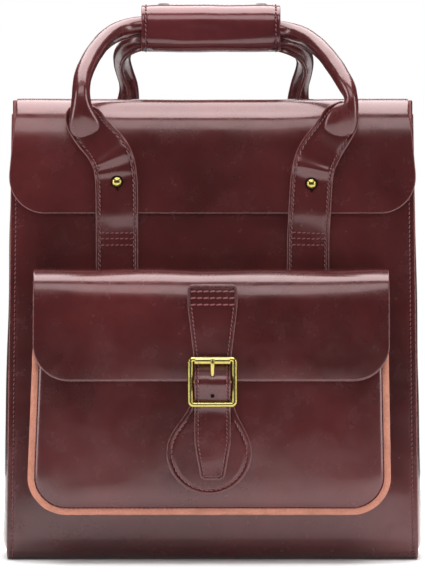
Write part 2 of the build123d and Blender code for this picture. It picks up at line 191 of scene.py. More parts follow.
def flesh_side(name):
    """The brushed inner face of the hide."""
    s = Shader(name)
    nap = s.noise(700.0, 6.0, 0.75)
    clouds = s.noise(22.0, 4.0, 0.6)
    base = s.mix(s.span(clouds, 0.3, 0.7), (0.16, 0.055, 0.04, 1), (0.27, 0.105, 0.075, 1))
    base = s.mix(s.span(nap, 0.35, 0.7, 0.0, 0.5), base, (0.34, 0.15, 0.11, 1))
    s.set(Base_Color=base, Roughness=0.9, Sheen_Weight=0.25, Sheen_Roughness=0.5)
    s.bump([(nap, 0.0002), (clouds, 0.0004)])
    return s.mat


def thread(name, tone=(0.30, 0.075, 0.085)):
    """Waxed thread with its twist."""
    s = Shader(name)
    twist = s.node("ShaderNodeTexWave", Vector=s.rest, Scale=900.0, Distortion=1.5)
    twist.bands_direction = "DIAGONAL"
    fuzz = s.noise(1500.0, 3.0, 0.6)
    base = s.mix(twist.outputs["Fac"], tuple(c * 0.5 for c in tone) + (1,), tone + (1,))
    s.set(Base_Color=base, Roughness=s.span(fuzz, 0.3, 0.7, 0.4, 0.6), Sheen_Weight=0.2)
    s.bump([(twist.outputs["Fac"], 0.00008)])
    return s.mat


def metal(name, tone, rough, dull):
    """Polished cast metal: faint casting waves, hairline scratches, tarnish in patches."""
    s = Shader(name)
    waves = s.noise(120.0, 3.0, 0.5)
    hair = s.noise(300.0, 4.0, 0.7, s.stretch(9.0, 9.0, 0.6))
    spots = s.noise(210.0, 6.0, 0.7)
    base = s.mix(s.span(spots, 0.5, 0.75), tone + (1,), tuple(c * 0.55 for c in tone) + (1,))
    polish = s.span(hair, 0.3, 0.7, rough * 0.7, rough * 1.4)
    roughness = s.math("ADD", polish, s.span(spots, 0.5, 0.8, 0.0, dull))
    s.set(Base_Color=base, Metallic=1.0, Roughness=roughness)
    s.bump([(waves, 0.00012), (hair, 0.000012)])
    return s.mat


LEATHER_BODY = leather("leather_body", wave=1.1)
LEATHER_FLAP = leather("leather_flap", wave=1.0)
LEATHER_STRAP = leather("leather_strap", wave=0.5)
LEATHER_POCKET = leather("leather_pocket", wave=0.8)
LEATHER_HANDLE = leather("leather_handle", wave=0.4, crease=0.06)
LEATHER_GRIP = leather("leather_grip", tone=(0.092, 0.017, 0.02), wave=0.7, gloss=0.17)
EDGE = cut_edge("cut_edge", (0.66, 0.27, 0.185))
EDGE_DYED = cut_edge("cut_edge_dyed", (0.30, 0.105, 0.095))
FLESH = flesh_side("flesh_side")
THREAD = thread("thread")
BRASS = metal("brass_polished", (0.53, 0.44, 0.13), 0.2, 0.12)
# painted shade: a near-black, matt leather that stands in for the shade seen inside holes and slits
HOLE_SHADE = leather("hole_painted_shade", tone=(0.008, 0.003, 0.003), wave=0.0)
hole_shade_shader = HOLE_SHADE.node_tree.nodes["Principled BSDF"]
hole_shade_shader.inputs["Coat Weight"].default_value = 0.0
hole_shade_shader.inputs["Specular IOR Level"].default_value = 0.05
GUNMETAL = metal("gunmetal", (0.10, 0.085, 0.085), 0.3, 0.12)

# ------------------------------------------------------------------ mesh making


def put_mesh(name, verts, faces, mats, slots=None, rim=None, groove_shade=None):
    """A mesh object from millimetre points, with the attributes the materials read."""
    mesh = bpy.data.meshes.new(name)
    points = np.asarray(verts, float) * MM
    mesh.from_pydata(points.tolist(), [], [list(map(int, f)) for f in faces])
    for mat in mats:
        mesh.materials.append(mat)
    if slots is not None:
        mesh.polygons.foreach_set("material_index", np.asarray(slots, np.int32))
    mesh.polygons.foreach_set("use_smooth", np.ones(len(mesh.polygons), bool))
    rest = mesh.attributes.new("rest", "FLOAT_VECTOR", "POINT")
    rest.data.foreach_set("vector", points.astype(np.float32).ravel())
    for label, values in (("rim", rim), ("groove_shade", groove_shade)):
        layer = mesh.attributes.new(label, "FLOAT", "POINT")
        if values is not None:
            layer.data.foreach_set("value", np.asarray(values, np.float32))
    mesh.validate()
    mesh.update()
    obj = bpy.data.objects.new(name, mesh)
    bpy.context.scene.collection.objects.link(obj)
    return obj


def fasten(objs, body, bend=None):
    """Puts pieces on a body, or, given a bend, only bakes their transform into the mesh and puts them on no
    body.
    """
    for obj in objs if isinstance(objs, (list, tuple)) else [objs]:
        if bend:
            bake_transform(obj)
        else:
            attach(obj, body)


def wobble(a, b, scale, seed):
    """Slow random value, the same at every run, for arrays of two coordinates."""
    pairs = zip(np.ravel(a), np.ravel(b))
    flat = [noise.noise(Vector((p * scale, q * scale, seed))) for p, q in pairs]
    return np.array(flat).reshape(np.shape(a))


def dense(points, step=1.5):
    """The same line with points no further apart than step."""
    points = np.asarray(points, float)
    out = [points[0]]
    for a, b in zip(points[:-1], points[1:]):
        n = max(1, int(math.ceil(np.linalg.norm(b - a) / step)))
        for i in range(1, n + 1):
            out.append(a + (b - a) * i / n)
    return np.array(out)


def rounded(points, radii, step=1.5):
    """A 2-D line with its inner corners rounded."""
    points = [np.asarray(p, float) for p in points]
    out = [points[0]]
    for i in range(1, len(points) - 1):
        a, b, c = points[i - 1], points[i], points[i + 1]
        u = (a - b) / np.linalg.norm(a - b)
        w = (c - b) / np.linalg.norm(c - b)
        half = math.acos(np.clip(u @ w, -1, 1)) / 2
        r = radii[i - 1]
        t = r / math.tan(half)
        centre = b + (u + w) / np.linalg.norm(u + w) * r / math.sin(half)
        p, q = b + u * t - centre, b + w * t - centre
        turn = math.atan2(p[0] * q[1] - p[1] * q[0], p @ q)
        n = max(3, int(abs(turn) * r / step) + 3)
        for k in range(n + 1):
            ang = turn * k / n
            c, s = math.cos(ang), math.sin(ang)
            out.append(centre + np.array([p[0] * c - p[1] * s, p[0] * s + p[1] * c]))
    out.append(points[-1])
    return dense(out, step)


def smooth_line(points, step=2.0, passes=3):
    """A soft line through a few points, by repeated corner cutting, evenly spaced."""
    pts = np.asarray(points, float)
    for _ in range(passes):
        q = pts[:-1] * 0.75 + pts[1:] * 0.25
        r = pts[:-1] * 0.25 + pts[1:] * 0.75
        mid = np.empty((2 * len(q), pts.shape[1]))
        mid[0::2], mid[1::2] = q, r
        pts = np.vstack([pts[:1], mid, pts[-1:]])
    return even(pts, step)


def even(pts, step):
    """Points at even distances along a line."""
    length = np.concatenate([[0], np.cumsum(np.linalg.norm(np.diff(pts, axis=0), axis=1))])
    n = max(2, int(round(length[-1] / step)))
    at = np.linspace(0, length[-1], n + 1)
    return np.stack([np.interp(at, length, pts[:, k]) for k in range(pts.shape[1])], axis=1)


class Profile:
    """Maps (x, v, depth) to space along a line in one plane: v runs along the line.

    plane "yz": the line is (y, z) and x is kept. plane "xz": the line is (x, z) and
    the sheet's x runs along +Y. side says which way its outer face looks.
    """

    def __init__(self, line, side=1, plane="yz"):
        self.line = np.asarray(line, float)
        seg = np.diff(self.line, axis=0)
        self.s = np.concatenate([[0], np.cumsum(np.linalg.norm(seg, axis=1))])
        tangent = np.gradient(self.line, self.s, axis=0)
        tangent /= np.linalg.norm(tangent, axis=1)[:, None]
        self.normal = np.stack([tangent[:, 1], -tangent[:, 0]], axis=1) * side
        self.length = self.s[-1]
        self.plane = plane

    def __call__(self, x, v, depth):
        p = [np.interp(v, self.s, self.line[:, k]) for k in (0, 1)]
        n = [np.interp(v, self.s, self.normal[:, k]) for k in (0, 1)]
        a, z = p[0] + n[0] * depth, p[1] + n[1] * depth
        if self.plane == "yz":
            return np.stack([x + 0 * a, a, z], axis=-1)
        return np.stack([a, x + 0 * a, z], axis=-1)


class Ribbon:
    """Maps (x, v, depth) along a 3-D line; out is the way its outer face looks."""

    def __init__(self, line, out=(0, -1, 0)):
        self.line = np.asarray(line, float)
        self.s = np.concatenate([[0], np.cumsum(np.linalg.norm(np.diff(self.line, axis=0), axis=1))])
        t = np.gradient(self.line, self.s, axis=0)
        t /= np.linalg.norm(t, axis=1)[:, None]
        out = np.broadcast_to(np.asarray(out, float), t.shape)
        n = out - (out * t).sum(1)[:, None] * t
        self.n = n / np.linalg.norm(n, axis=1)[:, None]
        self.across = np.cross(t, self.n)
        self.length = self.s[-1]

    def __call__(self, x, v, depth):
        def at(table):
            return np.stack([np.interp(v, self.s, table[:, k]) for k in range(3)], axis=-1)

        x, depth = np.asarray(x, float), np.asarray(depth, float)
        return at(self.line) + at(self.across) * x[..., None] + at(self.n) * depth[..., None]


class Outline:
    """A sheet's outline: rows of (v, left x, right x) from its top to its foot."""

    def __init__(self, rows, columns=48):
        self.rows = np.asarray(rows, float)
        self.columns = columns
        v, left, right = self.rows.T
        m, n = len(v), columns
        u = np.linspace(0, 1, n + 1)
        pts = [(left[k], v[k]) for k in range(m)]
        pts += [(left[-1] + (right[-1] - left[-1]) * t, v[-1]) for t in u[1:-1]]
        pts += [(right[k], v[k]) for k in range(m - 1, -1, -1)]
        pts += [(right[0] + (left[0] - right[0]) * t, v[0]) for t in u[1:-1]]
        self.base = np.array(pts)
        nxt, prv = np.roll(self.base, -1, 0), np.roll(self.base, 1, 0)
        e1, e2 = self.base - prv, nxt - self.base
        area = (self.base[:, 0] * nxt[:, 1] - nxt[:, 0] * self.base[:, 1]).sum()
        sign = 1 if area > 0 else -1
        n1 = np.stack([-e1[:, 1], e1[:, 0]], 1) * sign
        n2 = np.stack([-e2[:, 1], e2[:, 0]], 1) * sign
        n1 /= np.linalg.norm(n1, axis=1)[:, None] + 1e-12
        n2 /= np.linalg.norm(n2, axis=1)[:, None] + 1e-12
        self.inward = (n1 + n2) / (1 + (n1 * n2).sum(1)).clip(0.35)[:, None]

    def loop(self, inset):
        return self.base + self.inward * inset

    def sides(self, loop):
        m, n = len(self.rows), self.columns
        left = loop[:m]
        bottom = loop[m - 1 : m + n]
        right = loop[m + n - 1 : m + n - 1 + m][::-1]
        top = np.vstack([loop[:1], loop[m + n - 1 + m :][::-1], loop[m + n + m - 2 : m + n + m - 1]])
        return left, right, top, bottom

    def path(self, inset, which="lbr"):
        """A line at a distance in from the edge, along the named sides."""
        left, right, top, bottom = self.sides(self.loop(inset))
        parts = {"l": left, "b": bottom, "r": right[::-1], "t": top[::-1]}
        pts = np.vstack([parts[c] for c in which])
        keep = np.concatenate([[True], np.linalg.norm(np.diff(pts, axis=0), axis=1) > 1e-6])
        return pts[keep]


def rounded_rows(v0, v1, half0, half1, corner, step=5.0, shift=0.0):
    """Rows of a sheet with straight sides and rounded lower corners."""

    def half(v):
        return half0 + (half1 - half0) * (v - v0) / (v1 - v0)

    straight = v1 - corner - v0
    n = max(2, int(straight / step))
    rows = [(v0 + straight * k / n, half(v0 + straight * k / n)) for k in range(n)]
    for k in range(15):
        a = math.pi / 2 * k / 14
        rows.append((v1 - corner + corner * math.sin(a), half(v1 - corner) - corner * (1 - math.cos(a))))
    return [(v, shift - h, shift + h) for v, h in rows]


# how a sheet's face runs in from its edge: (distance in, height)
PLAIN_RIM = [(0.0, -0.85), (0.12, -0.42), (0.5, -0.12), (1.1, 0.0), (2.2, 0.03)]


def stitched_rim(at, deep=0.45, roll=0.25, sharp_roll=1.6):
    """A rim with a sewn groove at a distance in, and a soft roll behind it."""
    return PLAIN_RIM + [
        (at - 1.2, -0.02),
        (at - 0.5, -deep * 0.7),
        (at, -deep),
        (at + 0.5, -deep * 0.7),
        (at + sharp_roll, roll * 0.35),
        (at + 3.4, roll),
        (at + 6.5, roll * 1.15),
        (at + 9.5, roll * 1.1),
    ]


def sheet(name, outline, shape, thick=2.5, rim=PLAIN_RIM, lift=None, mats=None, groove=None, pale=0.2):
    """A leather sheet with rounded cut edges: pale rim, outer face, flesh side."""
    mats = mats or [LEATHER_BODY, EDGE, FLESH]
    back = [(1.3, -thick), (0.4, -thick + 0.1), (0.08, -thick + 0.45), (0.0, -thick + 0.9)]
    rings = [(d, h) for d, h in back if h < rim[0][1] - 0.2] + list(rim)
    loops = [outline.loop(d) for d, _ in rings]
    size = len(loops[0])
    flat, high, rims, groove_shades = [], [], [], []
    for (d, h), loop in zip(rings, loops):
        flat.append(loop)
        high.append(np.full(size, h))
        rims.append(np.full(size, float(np.clip(1 - (d - 0.15) / 0.8, 0, 1)) if h > -1.0 else 1.0))
        # mask for the painted shade along the stitch groove
        sunk = groove is not None and abs(d - groove) < 0.6
        groove_shades.append(np.full(size, (1.0 if abs(d - groove) < 0.1 else 0.5) if sunk else 0.0))
    faces, slots = [], []
    for k in range(len(rings) - 1):
        a, b = k * size, (k + 1) * size
        side = rings[k + 1][0] <= pale or (rings[k + 1][1] < -0.8 and rings[k + 1][0] < 1.4)
        for i in range(size):
            j = (i + 1) % size
            faces.append((a + i, a + j, b + j, b + i))
            slots.append(1 if side and k > 0 else (2 if k == 0 else 0))
    m, n = len(outline.rows), outline.columns
    fronts_and_back = ((rings[-1], (len(rings) - 1) * size, 0, False), (rings[0], 0, 2, True))
    for ring, base_index, face_slot, flip in fronts_and_back:
        loop = outline.loop(ring[0])
        left, right, _, _ = outline.sides(loop)
        inner_at = sum(len(f) for f in flat)
        u = np.linspace(0, 1, n + 1)[1:-1]
        inner = left[1:-1, None, :] + (right - left)[1:-1, None, :] * u[None, :, None]
        flat.append(inner.reshape(-1, 2))
        count = inner.shape[0] * inner.shape[1]
        high.append(np.full(count, ring[1]))
        rims.append(np.zeros(count))
        groove_shades.append(np.zeros(count))
        index = np.zeros((m, n + 1), int)
        index[1:-1, 1:-1] = inner_at + np.arange(count).reshape(inner.shape[:2])
        order = np.arange(size) + base_index
        index[:, 0] = order[:m]
        index[-1, :] = order[m - 1 : m + n]
        index[:, -1] = order[m + n - 1 : 2 * m + n - 1][::-1]
        index[0, 1:-1] = order[2 * m + n - 1 :][::-1]
        for r in range(m - 1):
            for c in range(n):
                quad = (index[r, c], index[r + 1, c], index[r + 1, c + 1], index[r, c + 1])
                faces.append(quad[::-1] if flip else quad)
                slots.append(face_slot)
    flat, high = np.vstack(flat), np.concatenate(high)
    if lift is not None:
        high = high + lift(flat[:, 0], flat[:, 1])
    verts = shape(flat[:, 0], flat[:, 1], high)
    return outwards(put_mesh(name, verts, faces, mats, slots, np.concatenate(rims), np.concatenate(groove_shades)))


def outwards(obj):
    """The same closed mesh with its faces looking outwards."""
    mesh = obj.data
    co = np.empty(len(mesh.vertices) * 3)
    mesh.vertices.foreach_get("co", co)
    co = co.reshape(-1, 3)
    total = 0.0
    middle = co.mean(0)
    for p in mesh.polygons:
        idx = list(p.vertices)
        a = co[idx[0]] - middle
        for k in range(1, len(idx) - 1):
            total += a @ np.cross(co[idx[k]] - middle, co[idx[k + 1]] - middle)
    if total < 0:
        mesh.flip_normals()
    return obj


def tube_faces(rows, around):
    """Faces between rows of points round a tube, then its two ends."""
    faces = []
    for i in range(rows - 1):
        for j in range(around):
            a, b, q = i * around, (i + 1) * around, (j + 1) % around
            faces.append((a + j, a + q, b + q, b + j))
    last = (rows - 1) * around
    return faces + [tuple(range(around))[::-1], tuple(last + j for j in range(around))]


def turned(radius, count, other=None):
    """Points of a circle, or of an oval, as a section for sweep."""
    angles = np.arange(count) / count * 2 * math.pi
    return [(radius * math.cos(a), (other or radius) * math.sin(a)) for a in angles]


def stitches(name, shape, lines, lift=None, pitch=3.6, fill=0.74, radius=0.44, depth=-0.42, rise=0.62):
    """A row of thread stitches along each line of (x, v) points."""
    rings, faces = [], []
    sides = 6
    ang = np.arange(sides) / sides * 2 * math.pi
    one = tube_faces(6, sides)
    for line in lines:
        line = np.asarray(line, float)
        seg = np.linalg.norm(np.diff(line, axis=0), axis=1)
        s = np.concatenate([[0], np.cumsum(seg)])
        count = max(1, int(s[-1] / pitch))
        step = s[-1] / count
        for k in range(count):
            a = k * step + step * (1 - fill) / 2
            at = a + step * fill * np.array([0.0, 0.12, 0.35, 0.65, 0.88, 1.0])
            tilt = np.array([-0.22, -0.2, -0.1, 0.1, 0.2, 0.22])
            x = np.interp(at, s, line[:, 0])
            v = np.interp(at, s, line[:, 1])
            course = np.array([x[-1] - x[0], v[-1] - v[0]])
            course /= max(1e-6, math.hypot(*course))
            x, v = x - course[1] * tilt, v + course[0] * tilt
            up = lift(x, v) if lift is not None else 0.0
            h = depth + up + np.array([-0.25, 0.3, rise, rise, 0.3, -0.25])
            p = shape(x, v, h)
            above = shape(x, v, h + 1.0) - p
            t = np.gradient(p, axis=0)
            t /= np.linalg.norm(t, axis=1)[:, None]
            side = np.cross(t, above)
            side /= np.linalg.norm(side, axis=1)[:, None]
            above = np.cross(side, t)
            r = radius * np.array([0.45, 0.9, 1.0, 1.0, 0.9, 0.45])
            base = len(rings) * sides * 6
            ring = (
                p[:, None, :]
                + side[:, None, :] * (np.cos(ang)[None, :, None] * r[:, None, None])
                + above[:, None, :] * (np.sin(ang)[None, :, None] * r[:, None, None] * 0.85)
            )
            rings.append(ring.reshape(-1, 3))
            faces += [tuple(base + q for q in face) for face in one]
    obj = put_mesh(name, np.vstack(rings), faces, [THREAD])
    return obj


def sweep(name, line, section, mats, out=(0, -1, 0)):
    """A closed section (function of row number and share) carried along a line."""
    ribbon = Ribbon(line, out)
    count = len(line)
    rows = [np.asarray(section(i, i / (count - 1)), float) for i in range(count)]
    verts = [
        ribbon.line[i] + ribbon.across[i] * rows[i][:, :1] + ribbon.n[i] * rows[i][:, 1:2]
        for i in range(count)
    ]
    return outwards(put_mesh(name, np.vstack(verts), tube_faces(count, len(rows[0])), mats))


def lathe(name, centre, axis_out, profile, mats, sides=40):
    """A turned piece: profile is (radius, height along the axis) from its base outwards."""
    out = np.array(axis_out, float)
    ref = np.array([1.0, 0, 0])
    other = np.cross(out, ref)
    ang = np.arange(sides) / sides * 2 * math.pi
    verts = []
    for r, h in profile:
        middle = np.array(centre) + out * h
        verts += [middle + (ref * math.cos(a) + other * math.sin(a)) * max(r, 0.001) for a in ang]
    return outwards(put_mesh(name, verts, tube_faces(len(profile), sides), mats))


# ------------------------------------------------------------------ main body shell

SHELL_Y = 57.5
BODY_TOP = 352.0
BASE_R = 17.0
shell_line = rounded(
    [
        (-51.0, 349.0),
        (-54.4, 336.0),
        (-57.0, 317.0),
        (-SHELL_Y, 296.0),
        (-SHELL_Y, 0),
        (SHELL_Y, 0),
        (SHELL_Y, BODY_TOP),
    ],
    [40, 80, 80, BASE_R, BASE_R],
    2.0,
)
shell = Profile(shell_line, side=1)
if shell.normal[0][0] > 0:
    shell.normal *= -1


def shell_height(v):
    """Height above the floor of a point along the shell."""
    return np.interp(v, shell.s, shell.line[:, 1])


def half_width(z):
    """The body's half width at a height: it narrows a little towards the top."""
    return 161.0 + (156.8 - 161.0) * z / BODY_TOP


shell_rows = []
SHELL_ROWS = 150
for k in range(SHELL_ROWS + 1):
    v = shell.length * k / SHELL_ROWS
    half = half_width(float(shell_height(v)))
    shell_rows.append((v, -half, half))


def shell_lift(x, v):
    """Soft fullness of the walls, none on the floor or at the side seams."""
    z = shell_height(v)
    across = np.clip(1 - (x / 158.0) ** 2, 0, 1) ** 0.6
    up = np.clip((z - 6) / 26.0, 0, 1) * np.clip((350 - z) / 90.0, 0, 1)
    belly = 3.4 * np.exp(-(((z - 50.0) / 30.0) ** 2)) * np.clip(z / 14.0, 0, 1)
    slow = wobble(x, v, 0.011, 3.0) * 1.1 + wobble(x, v, 0.03, 9.0) * 0.25
    return across * (up * 1.3 + belly) + slow * across * np.clip(z / 20.0, 0, 1)


shell_outline = Outline(shell_rows, 64)
body_shell = sheet(
    "body_shell",
    shell_outline,
    shell,
    rim=stitched_rim(4.3, 0.42, 0.3),
    lift=shell_lift,
    groove=4.3,
)
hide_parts("front_panel", "back_panel", "bottom_panel")
fasten(body_shell, "bag_body")
shell_seams = [shell_outline.path(4.3, "l"), shell_outline.path(4.3, "r"), shell_outline.path(4.3, "t")[2:-2]]
fasten(stitches("body_seam_stitches", shell, shell_seams, shell_lift), "bag_body")


# ------------------------------------------------------------------ gussets


def gusset(side):
    """Side wall: full in the middle, tucked behind the panels' edges."""
    label = "left" if side < 0 else "right"
    edge = SHELL_Y - 2.9
    rows = rounded_rows(-10.0, 346.0, edge, edge, 14.5, 5.0)
    outline = Outline(rows, 26)

    def shape(a, v, depth):
        z = 349.5 - v
        half = half_width(z)
        share = np.clip(1 - (np.abs(a) / edge) ** 2.6, 0, 1)
        foot = np.clip(1 - np.clip((18 - z) / 16.0, 0, 1) ** 2.2, 0, 1)
        belly = (1.6 + 4.4 * np.clip(1 - z / 330.0, 0, 1) ** 0.8) * share**0.55 * foot
        fold = -1.4 * np.exp(-((a / 7.0) ** 2)) * np.clip((z - 120) / 160.0, 0, 1)
        slow = wobble(a, v, 0.016, 20.0 + side) * 1.2 * share
        x = half - 1.6 + belly + fold + slow + depth - 2.2 * (1 - foot)
        return np.stack([side * x, a + 0 * x, z + 0 * x], axis=-1)

    obj = sheet(f"gusset_{label}_leather", outline, shape, mats=[LEATHER_BODY, EDGE_DYED, FLESH])
    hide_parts(f"gusset_{label}")
    fasten(obj, "bag_body")


gusset(-1)
gusset(1)

# ------------------------------------------------------------------ main flap with its sewn root

flap_line = rounded(
    [
        (60.3, 296.0),
        (60.3, 361.0),
        (-40.0, 361.0),
        (-53.0, 351.0),
        (-59.2, 333.0),
        (-61.1, 306.0),
        (-61.1, 271.0),
    ],
    [4.5, 17.0, 26.0, 70.0, 90.0],
    1.5,
)
flap = Profile(flap_line, side=1)
if flap.normal[0][0] < 0:
    flap.normal *= -1
FLAP_LEN = flap.length
fold_at = float(flap.s[np.argmax(flap.line[:, 0] < -50.0)])


def flap_half(v):
    """The main flap is a little wider over the front than on the top."""
    return 153.3 + 5.4 * np.clip((v - fold_at + 5) / 60.0, 0, 1)


flap_rows = []
for k in range(9):
    a = math.pi / 2 * k / 9
    flap_rows.append((12 * (1 - math.cos(a)), 153.5 - 12 + 12 * math.sin(a)))
for k in range(70):
    v = 12 + (FLAP_LEN - 28 - 12) * k / 70
    flap_rows.append((v, float(flap_half(v))))
for k in range(17):
    a = math.pi / 2 * k / 16
    flap_rows.append((FLAP_LEN - 28 + 28 * math.sin(a), 158.5 - 28 + 28 * math.cos(a)))
flap_outline = Outline([(v, -h, h) for v, h in flap_rows], 64)


def flap_lift(x, v):
    """Sag of the top between the handles, and slow waves in the front drop."""
    top = np.exp(-(((v - (fold_at - 62)) / 44.0) ** 2))
    sag = -2.6 * top * np.exp(-((x / 95.0) ** 2))
    drop = np.clip((v - fold_at - 8) / 20.0, 0, 1)
    between = 1 / (1 + np.exp((np.abs(x + 4) - 84) / 6.0))
    sag = sag - 1.5 * between * np.exp(-(((v - fold_at - 1) / 5.0) ** 2))
    slow = wobble(x, v, 0.012, 31.0) * 0.9 + wobble(x, v, 0.035, 37.0) * 0.25
    root = np.clip((v - 60) / 20.0, 0, 1)
    dent = -0.7 * drop * np.exp(-(((np.abs(x) - 76) / 24.0) ** 2))
    curl = 0.9 * np.clip((v - (FLAP_LEN - 26)) / 26.0, 0, 1) ** 2
    return (sag + slow * (0.4 + 0.6 * drop) + dent + curl) * root


flap_piece = sheet(
    "main_flap_leather",
    flap_outline,
    flap,
    rim=stitched_rim(3.8, 0.3, 0.15)[:5] + [(4.2, 0.05), (8.0, 0.1), (12.0, 0.12)],
    lift=flap_lift,
    mats=[LEATHER_FLAP, EDGE_DYED, FLESH],
)
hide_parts("main_flap", "flap_root")
FLAP_BEND = ("bag_body", "main_flap", (0, 0.0605, 0.350), (0, 0.046, 0.3645))
fasten(flap_piece, None, FLAP_BEND)
root_seams = [[(x, v) for x in np.linspace(-half, half, 60)] for v, half in ((4.0, 146), (40.0, 149))]
fasten(stitches("flap_root_stitches", flap, root_seams, flap_lift, depth=-0.2), None, FLAP_BEND)

# studs: base ring, neck and domed head standing on the flap, a screw head behind it
STUDS = [(-74.5, 296.0), (77.0, 294.5)]
for label, (sx, sz) in zip(("left", "right"), STUDS):
    dome = [(2.2, 0.0), (2.2, 4.6), (3.6, 4.9), (4.0, 5.6), (4.0, 6.2)]
    dome += [(3.75, 7.1), (3.2, 7.9), (2.3, 8.5), (1.2, 8.85), (0.2, 8.95)]
    head = lathe(f"stud_{label}", (sx, -58.9, sz), (0, -1, 0), dome, [BRASS])
    fasten(head, "main_flap")
    if label == "left":
        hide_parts("studs")
for node in ("stud_backs", "snap_posts", "snap_sockets"):
    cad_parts[node].data.materials.clear()
    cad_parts[node].data.materials.append(BRASS if node == "stud_backs" else GUNMETAL)

# ------------------------------------------------------------------ handle straps

STRAP_T = 2.6


def strap_piece(name, line, widths, out, cross_rows, replaces, bend, lift_extra=None, stop=None):
    """A handle strap: stitched along both edges, sewn down with cross rows, oval at its top.

    widths is a table of (height, full width); stop is the height where the edge
    stitches end.
    """
    line = smooth_line(line, 1.2, 4)
    ribbon = Ribbon(line, out)
    length = ribbon.length
    heights, fulls = zip(*widths)
    zs = ribbon.line[:, 2]

    def half_at(v):
        return np.interp(np.interp(v, ribbon.s, zs), heights, fulls) / 2

    n = int(length / 2.0)
    marks = list(np.linspace(0, length - 8, n)) + [length - d for d in (6.4, 5.0, 3.8, 2.6, 1.5, 0.7, 0.0)]
    rows = []
    for v in marks:
        left = length - v
        end = 1.0 if left > 8 else math.sqrt(max(0.0, 1 - ((8 - left) / 8.6) ** 2))
        half = float(half_at(v)) * end
        rows.append((v, -half, half))
    outline = Outline(rows, 18)

    def lift(x, v):
        pad = 0.5 * np.clip(1 - (x / 15.0) ** 2, 0, 1) ** 0.7
        slow = wobble(x, v, 0.05, hash_of(name)) * 0.4
        extra = lift_extra(x, np.interp(v, ribbon.s, zs)) if lift_extra else 0.0
        return pad + slow + extra

    rim = stitched_rim(3.4, 0.35, 0.1, 1.4)[:9] + [(5.4, 0.05)]
    mats = [LEATHER_STRAP, EDGE_DYED, FLESH]
    obj = sheet(name, outline, ribbon, thick=STRAP_T, rim=rim, lift=lift, mats=mats, groove=3.4)
    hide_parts(*replaces)
    left, right, _, _ = outline.sides(outline.loop(3.4))
    top_v = float(np.interp(stop, zs, ribbon.s))
    seams = [side[side[:, 1] < top_v] for side in (left, right)]
    for z in cross_rows:
        v = float(np.interp(z, zs, ribbon.s))
        half = float(half_at(v)) - 3.4
        seams.append(np.stack([np.linspace(-half, half, 12), np.full(12, v)], 1))
    thread_piece = stitches(name + "_stitches", ribbon, seams, lift, depth=-0.32)
    for piece in (obj, thread_piece):
        fasten(piece, None, bend)


def hash_of(name):
    """A number that is the same for a name at every run."""
    return float(sum((i + 1) * ord(c) for i, c in enumerate(name)) % 97)


FRONT_BEND = ("bag_body", "front_handle", (0, -0.0620, 0.2570), (0, -0.0620, 0.2680))


def front_strap(side):
    """One front strap: from behind the pocket flap, over the flap, out to the handle."""
    if side < 0:
        label, stud = "left", STUDS[0]
        line = [(-74.5, -58.0, 206), (-74.5, -58.0, 230), (-74.5, -58.2, 250), (-74.5, -59.6, 262)]
        line += [(-74.5, -61.9, 274), (-74.6, -61.8, 288), (-75, -61.9, 300), (-77.2, -63.2, 313)]
        line += [(-84, -64.6, 324), (-93, -65.4, 333), (-99.6, -66.0, 343)]
        line += [(-101.8, -66.6, 350), (-102.4, -67.0, 357.5)]
        bends = ((314.5, 2.4, 5.0, -0.05), (303.5, 0.9, 2.6, 0.0), (331.0, -1.0, 6.0, 0.0))
    else:
        label, stud = "right", STUDS[1]
        line = [(74.5, -58.0, 206), (74.5, -58.0, 230), (74.6, -58.2, 250), (75.1, -59.6, 262)]
        line += [(75.8, -61.9, 274), (76.5, -61.8, 288), (77.3, -62.0, 299), (79.4, -63.3, 311)]
        line += [(85, -64.6, 322), (93, -65.4, 333), (99, -66.0, 343), (102, -66.6, 351), (103.4, -67.0, 358)]
        bends = ((306.5, 2.3, 4.4, 0.03), (324.0, -1.2, 7.0, 0.0))
    line = [np.array(p) + np.array([0, -2.6, 0]) for p in line]
    widths = [(206, 33), (318, 33), (330, 31.0), (343, 30.0), (348, 28), (352, 25), (357, 20)]

    def dips(x, z):
        total = -0.8 * np.exp(-(((z - stud[1]) / 8.0) ** 2) - (x / 9.0) ** 2)
        for at, high, wide, lean in bends:
            total = total + high * np.exp(-(((z - at + lean * x) / wide) ** 2))
        return total

    strap_piece(
        f"front_strap_{label}_leather",
        line,
        widths,
        (0, -1, 0),
        (246.5, 251.5, 256.0),
        (f"front_strap_{label}", f"front_strap_upper_{label}"),
        FRONT_BEND,
        dips,
        352.0,
    )
    # painted shade: a near-black ring at the hole's pressed rim round the stud, and a near-black disc for the
    # slit below it
    rim_line = [(4.7, 0.0), (4.9, 0.25), (4.6, 0.5), (3.4, 0.42), (2.6, 0.1)]
    rim_shade_piece = lathe(f"stud_hole_shade_{label}", (stud[0], -64.6, stud[1]), (0, -1, 0), rim_line, [HOLE_SHADE])
    slit_at = (stud[0] + 0.4, -64.5, stud[1] - 6.0)
    slit = lathe(f"stud_slit_shade_{label}", slit_at, (0, -1, 0), [(0.9, 0.0), (0.9, 0.6)], [HOLE_SHADE])
    fasten([rim_shade_piece, slit], "front_handle")


front_strap(-1)
front_strap(1)

REAR_BEND = ("bag_body", "rear_handle", (0, 0.063, 0.3180), (0, 0.063, 0.3290))
for label, sx in (("left", -74.5), ("right", 74.5)):
    lean = -math.copysign(1, sx)
    back_line = [(sx, 60.9, 215), (sx, 60.9, 240), (sx, 60.9, 270), (sx, 61.6, 294), (sx, 62.6, 300)]
    back_line += [(sx, 62.7, 322), (sx + lean * 0.3, 62.8, 335)]
    back_line += [(sx + lean * 2.5, 63.0, 347), (sx + lean * 4.5, 63.2, 358)]
    back_line = [np.array(p) + np.array([0, 2.6, 0]) for p in back_line]
    strap_piece(
        f"rear_strap_{label}_leather",
        back_line,
        [(215, 33), (330, 33), (346, 31), (352, 27.5), (358, 20)],
        (0, 1, 0),
        (219.0, 223.5, 228.0, 306.0, 310.5, 315.0),
        (f"rear_strap_{label}", f"rear_strap_upper_{label}"),
        REAR_BEND,
        None,
        352.0,
    )

# ------------------------------------------------------------------ rolled handles


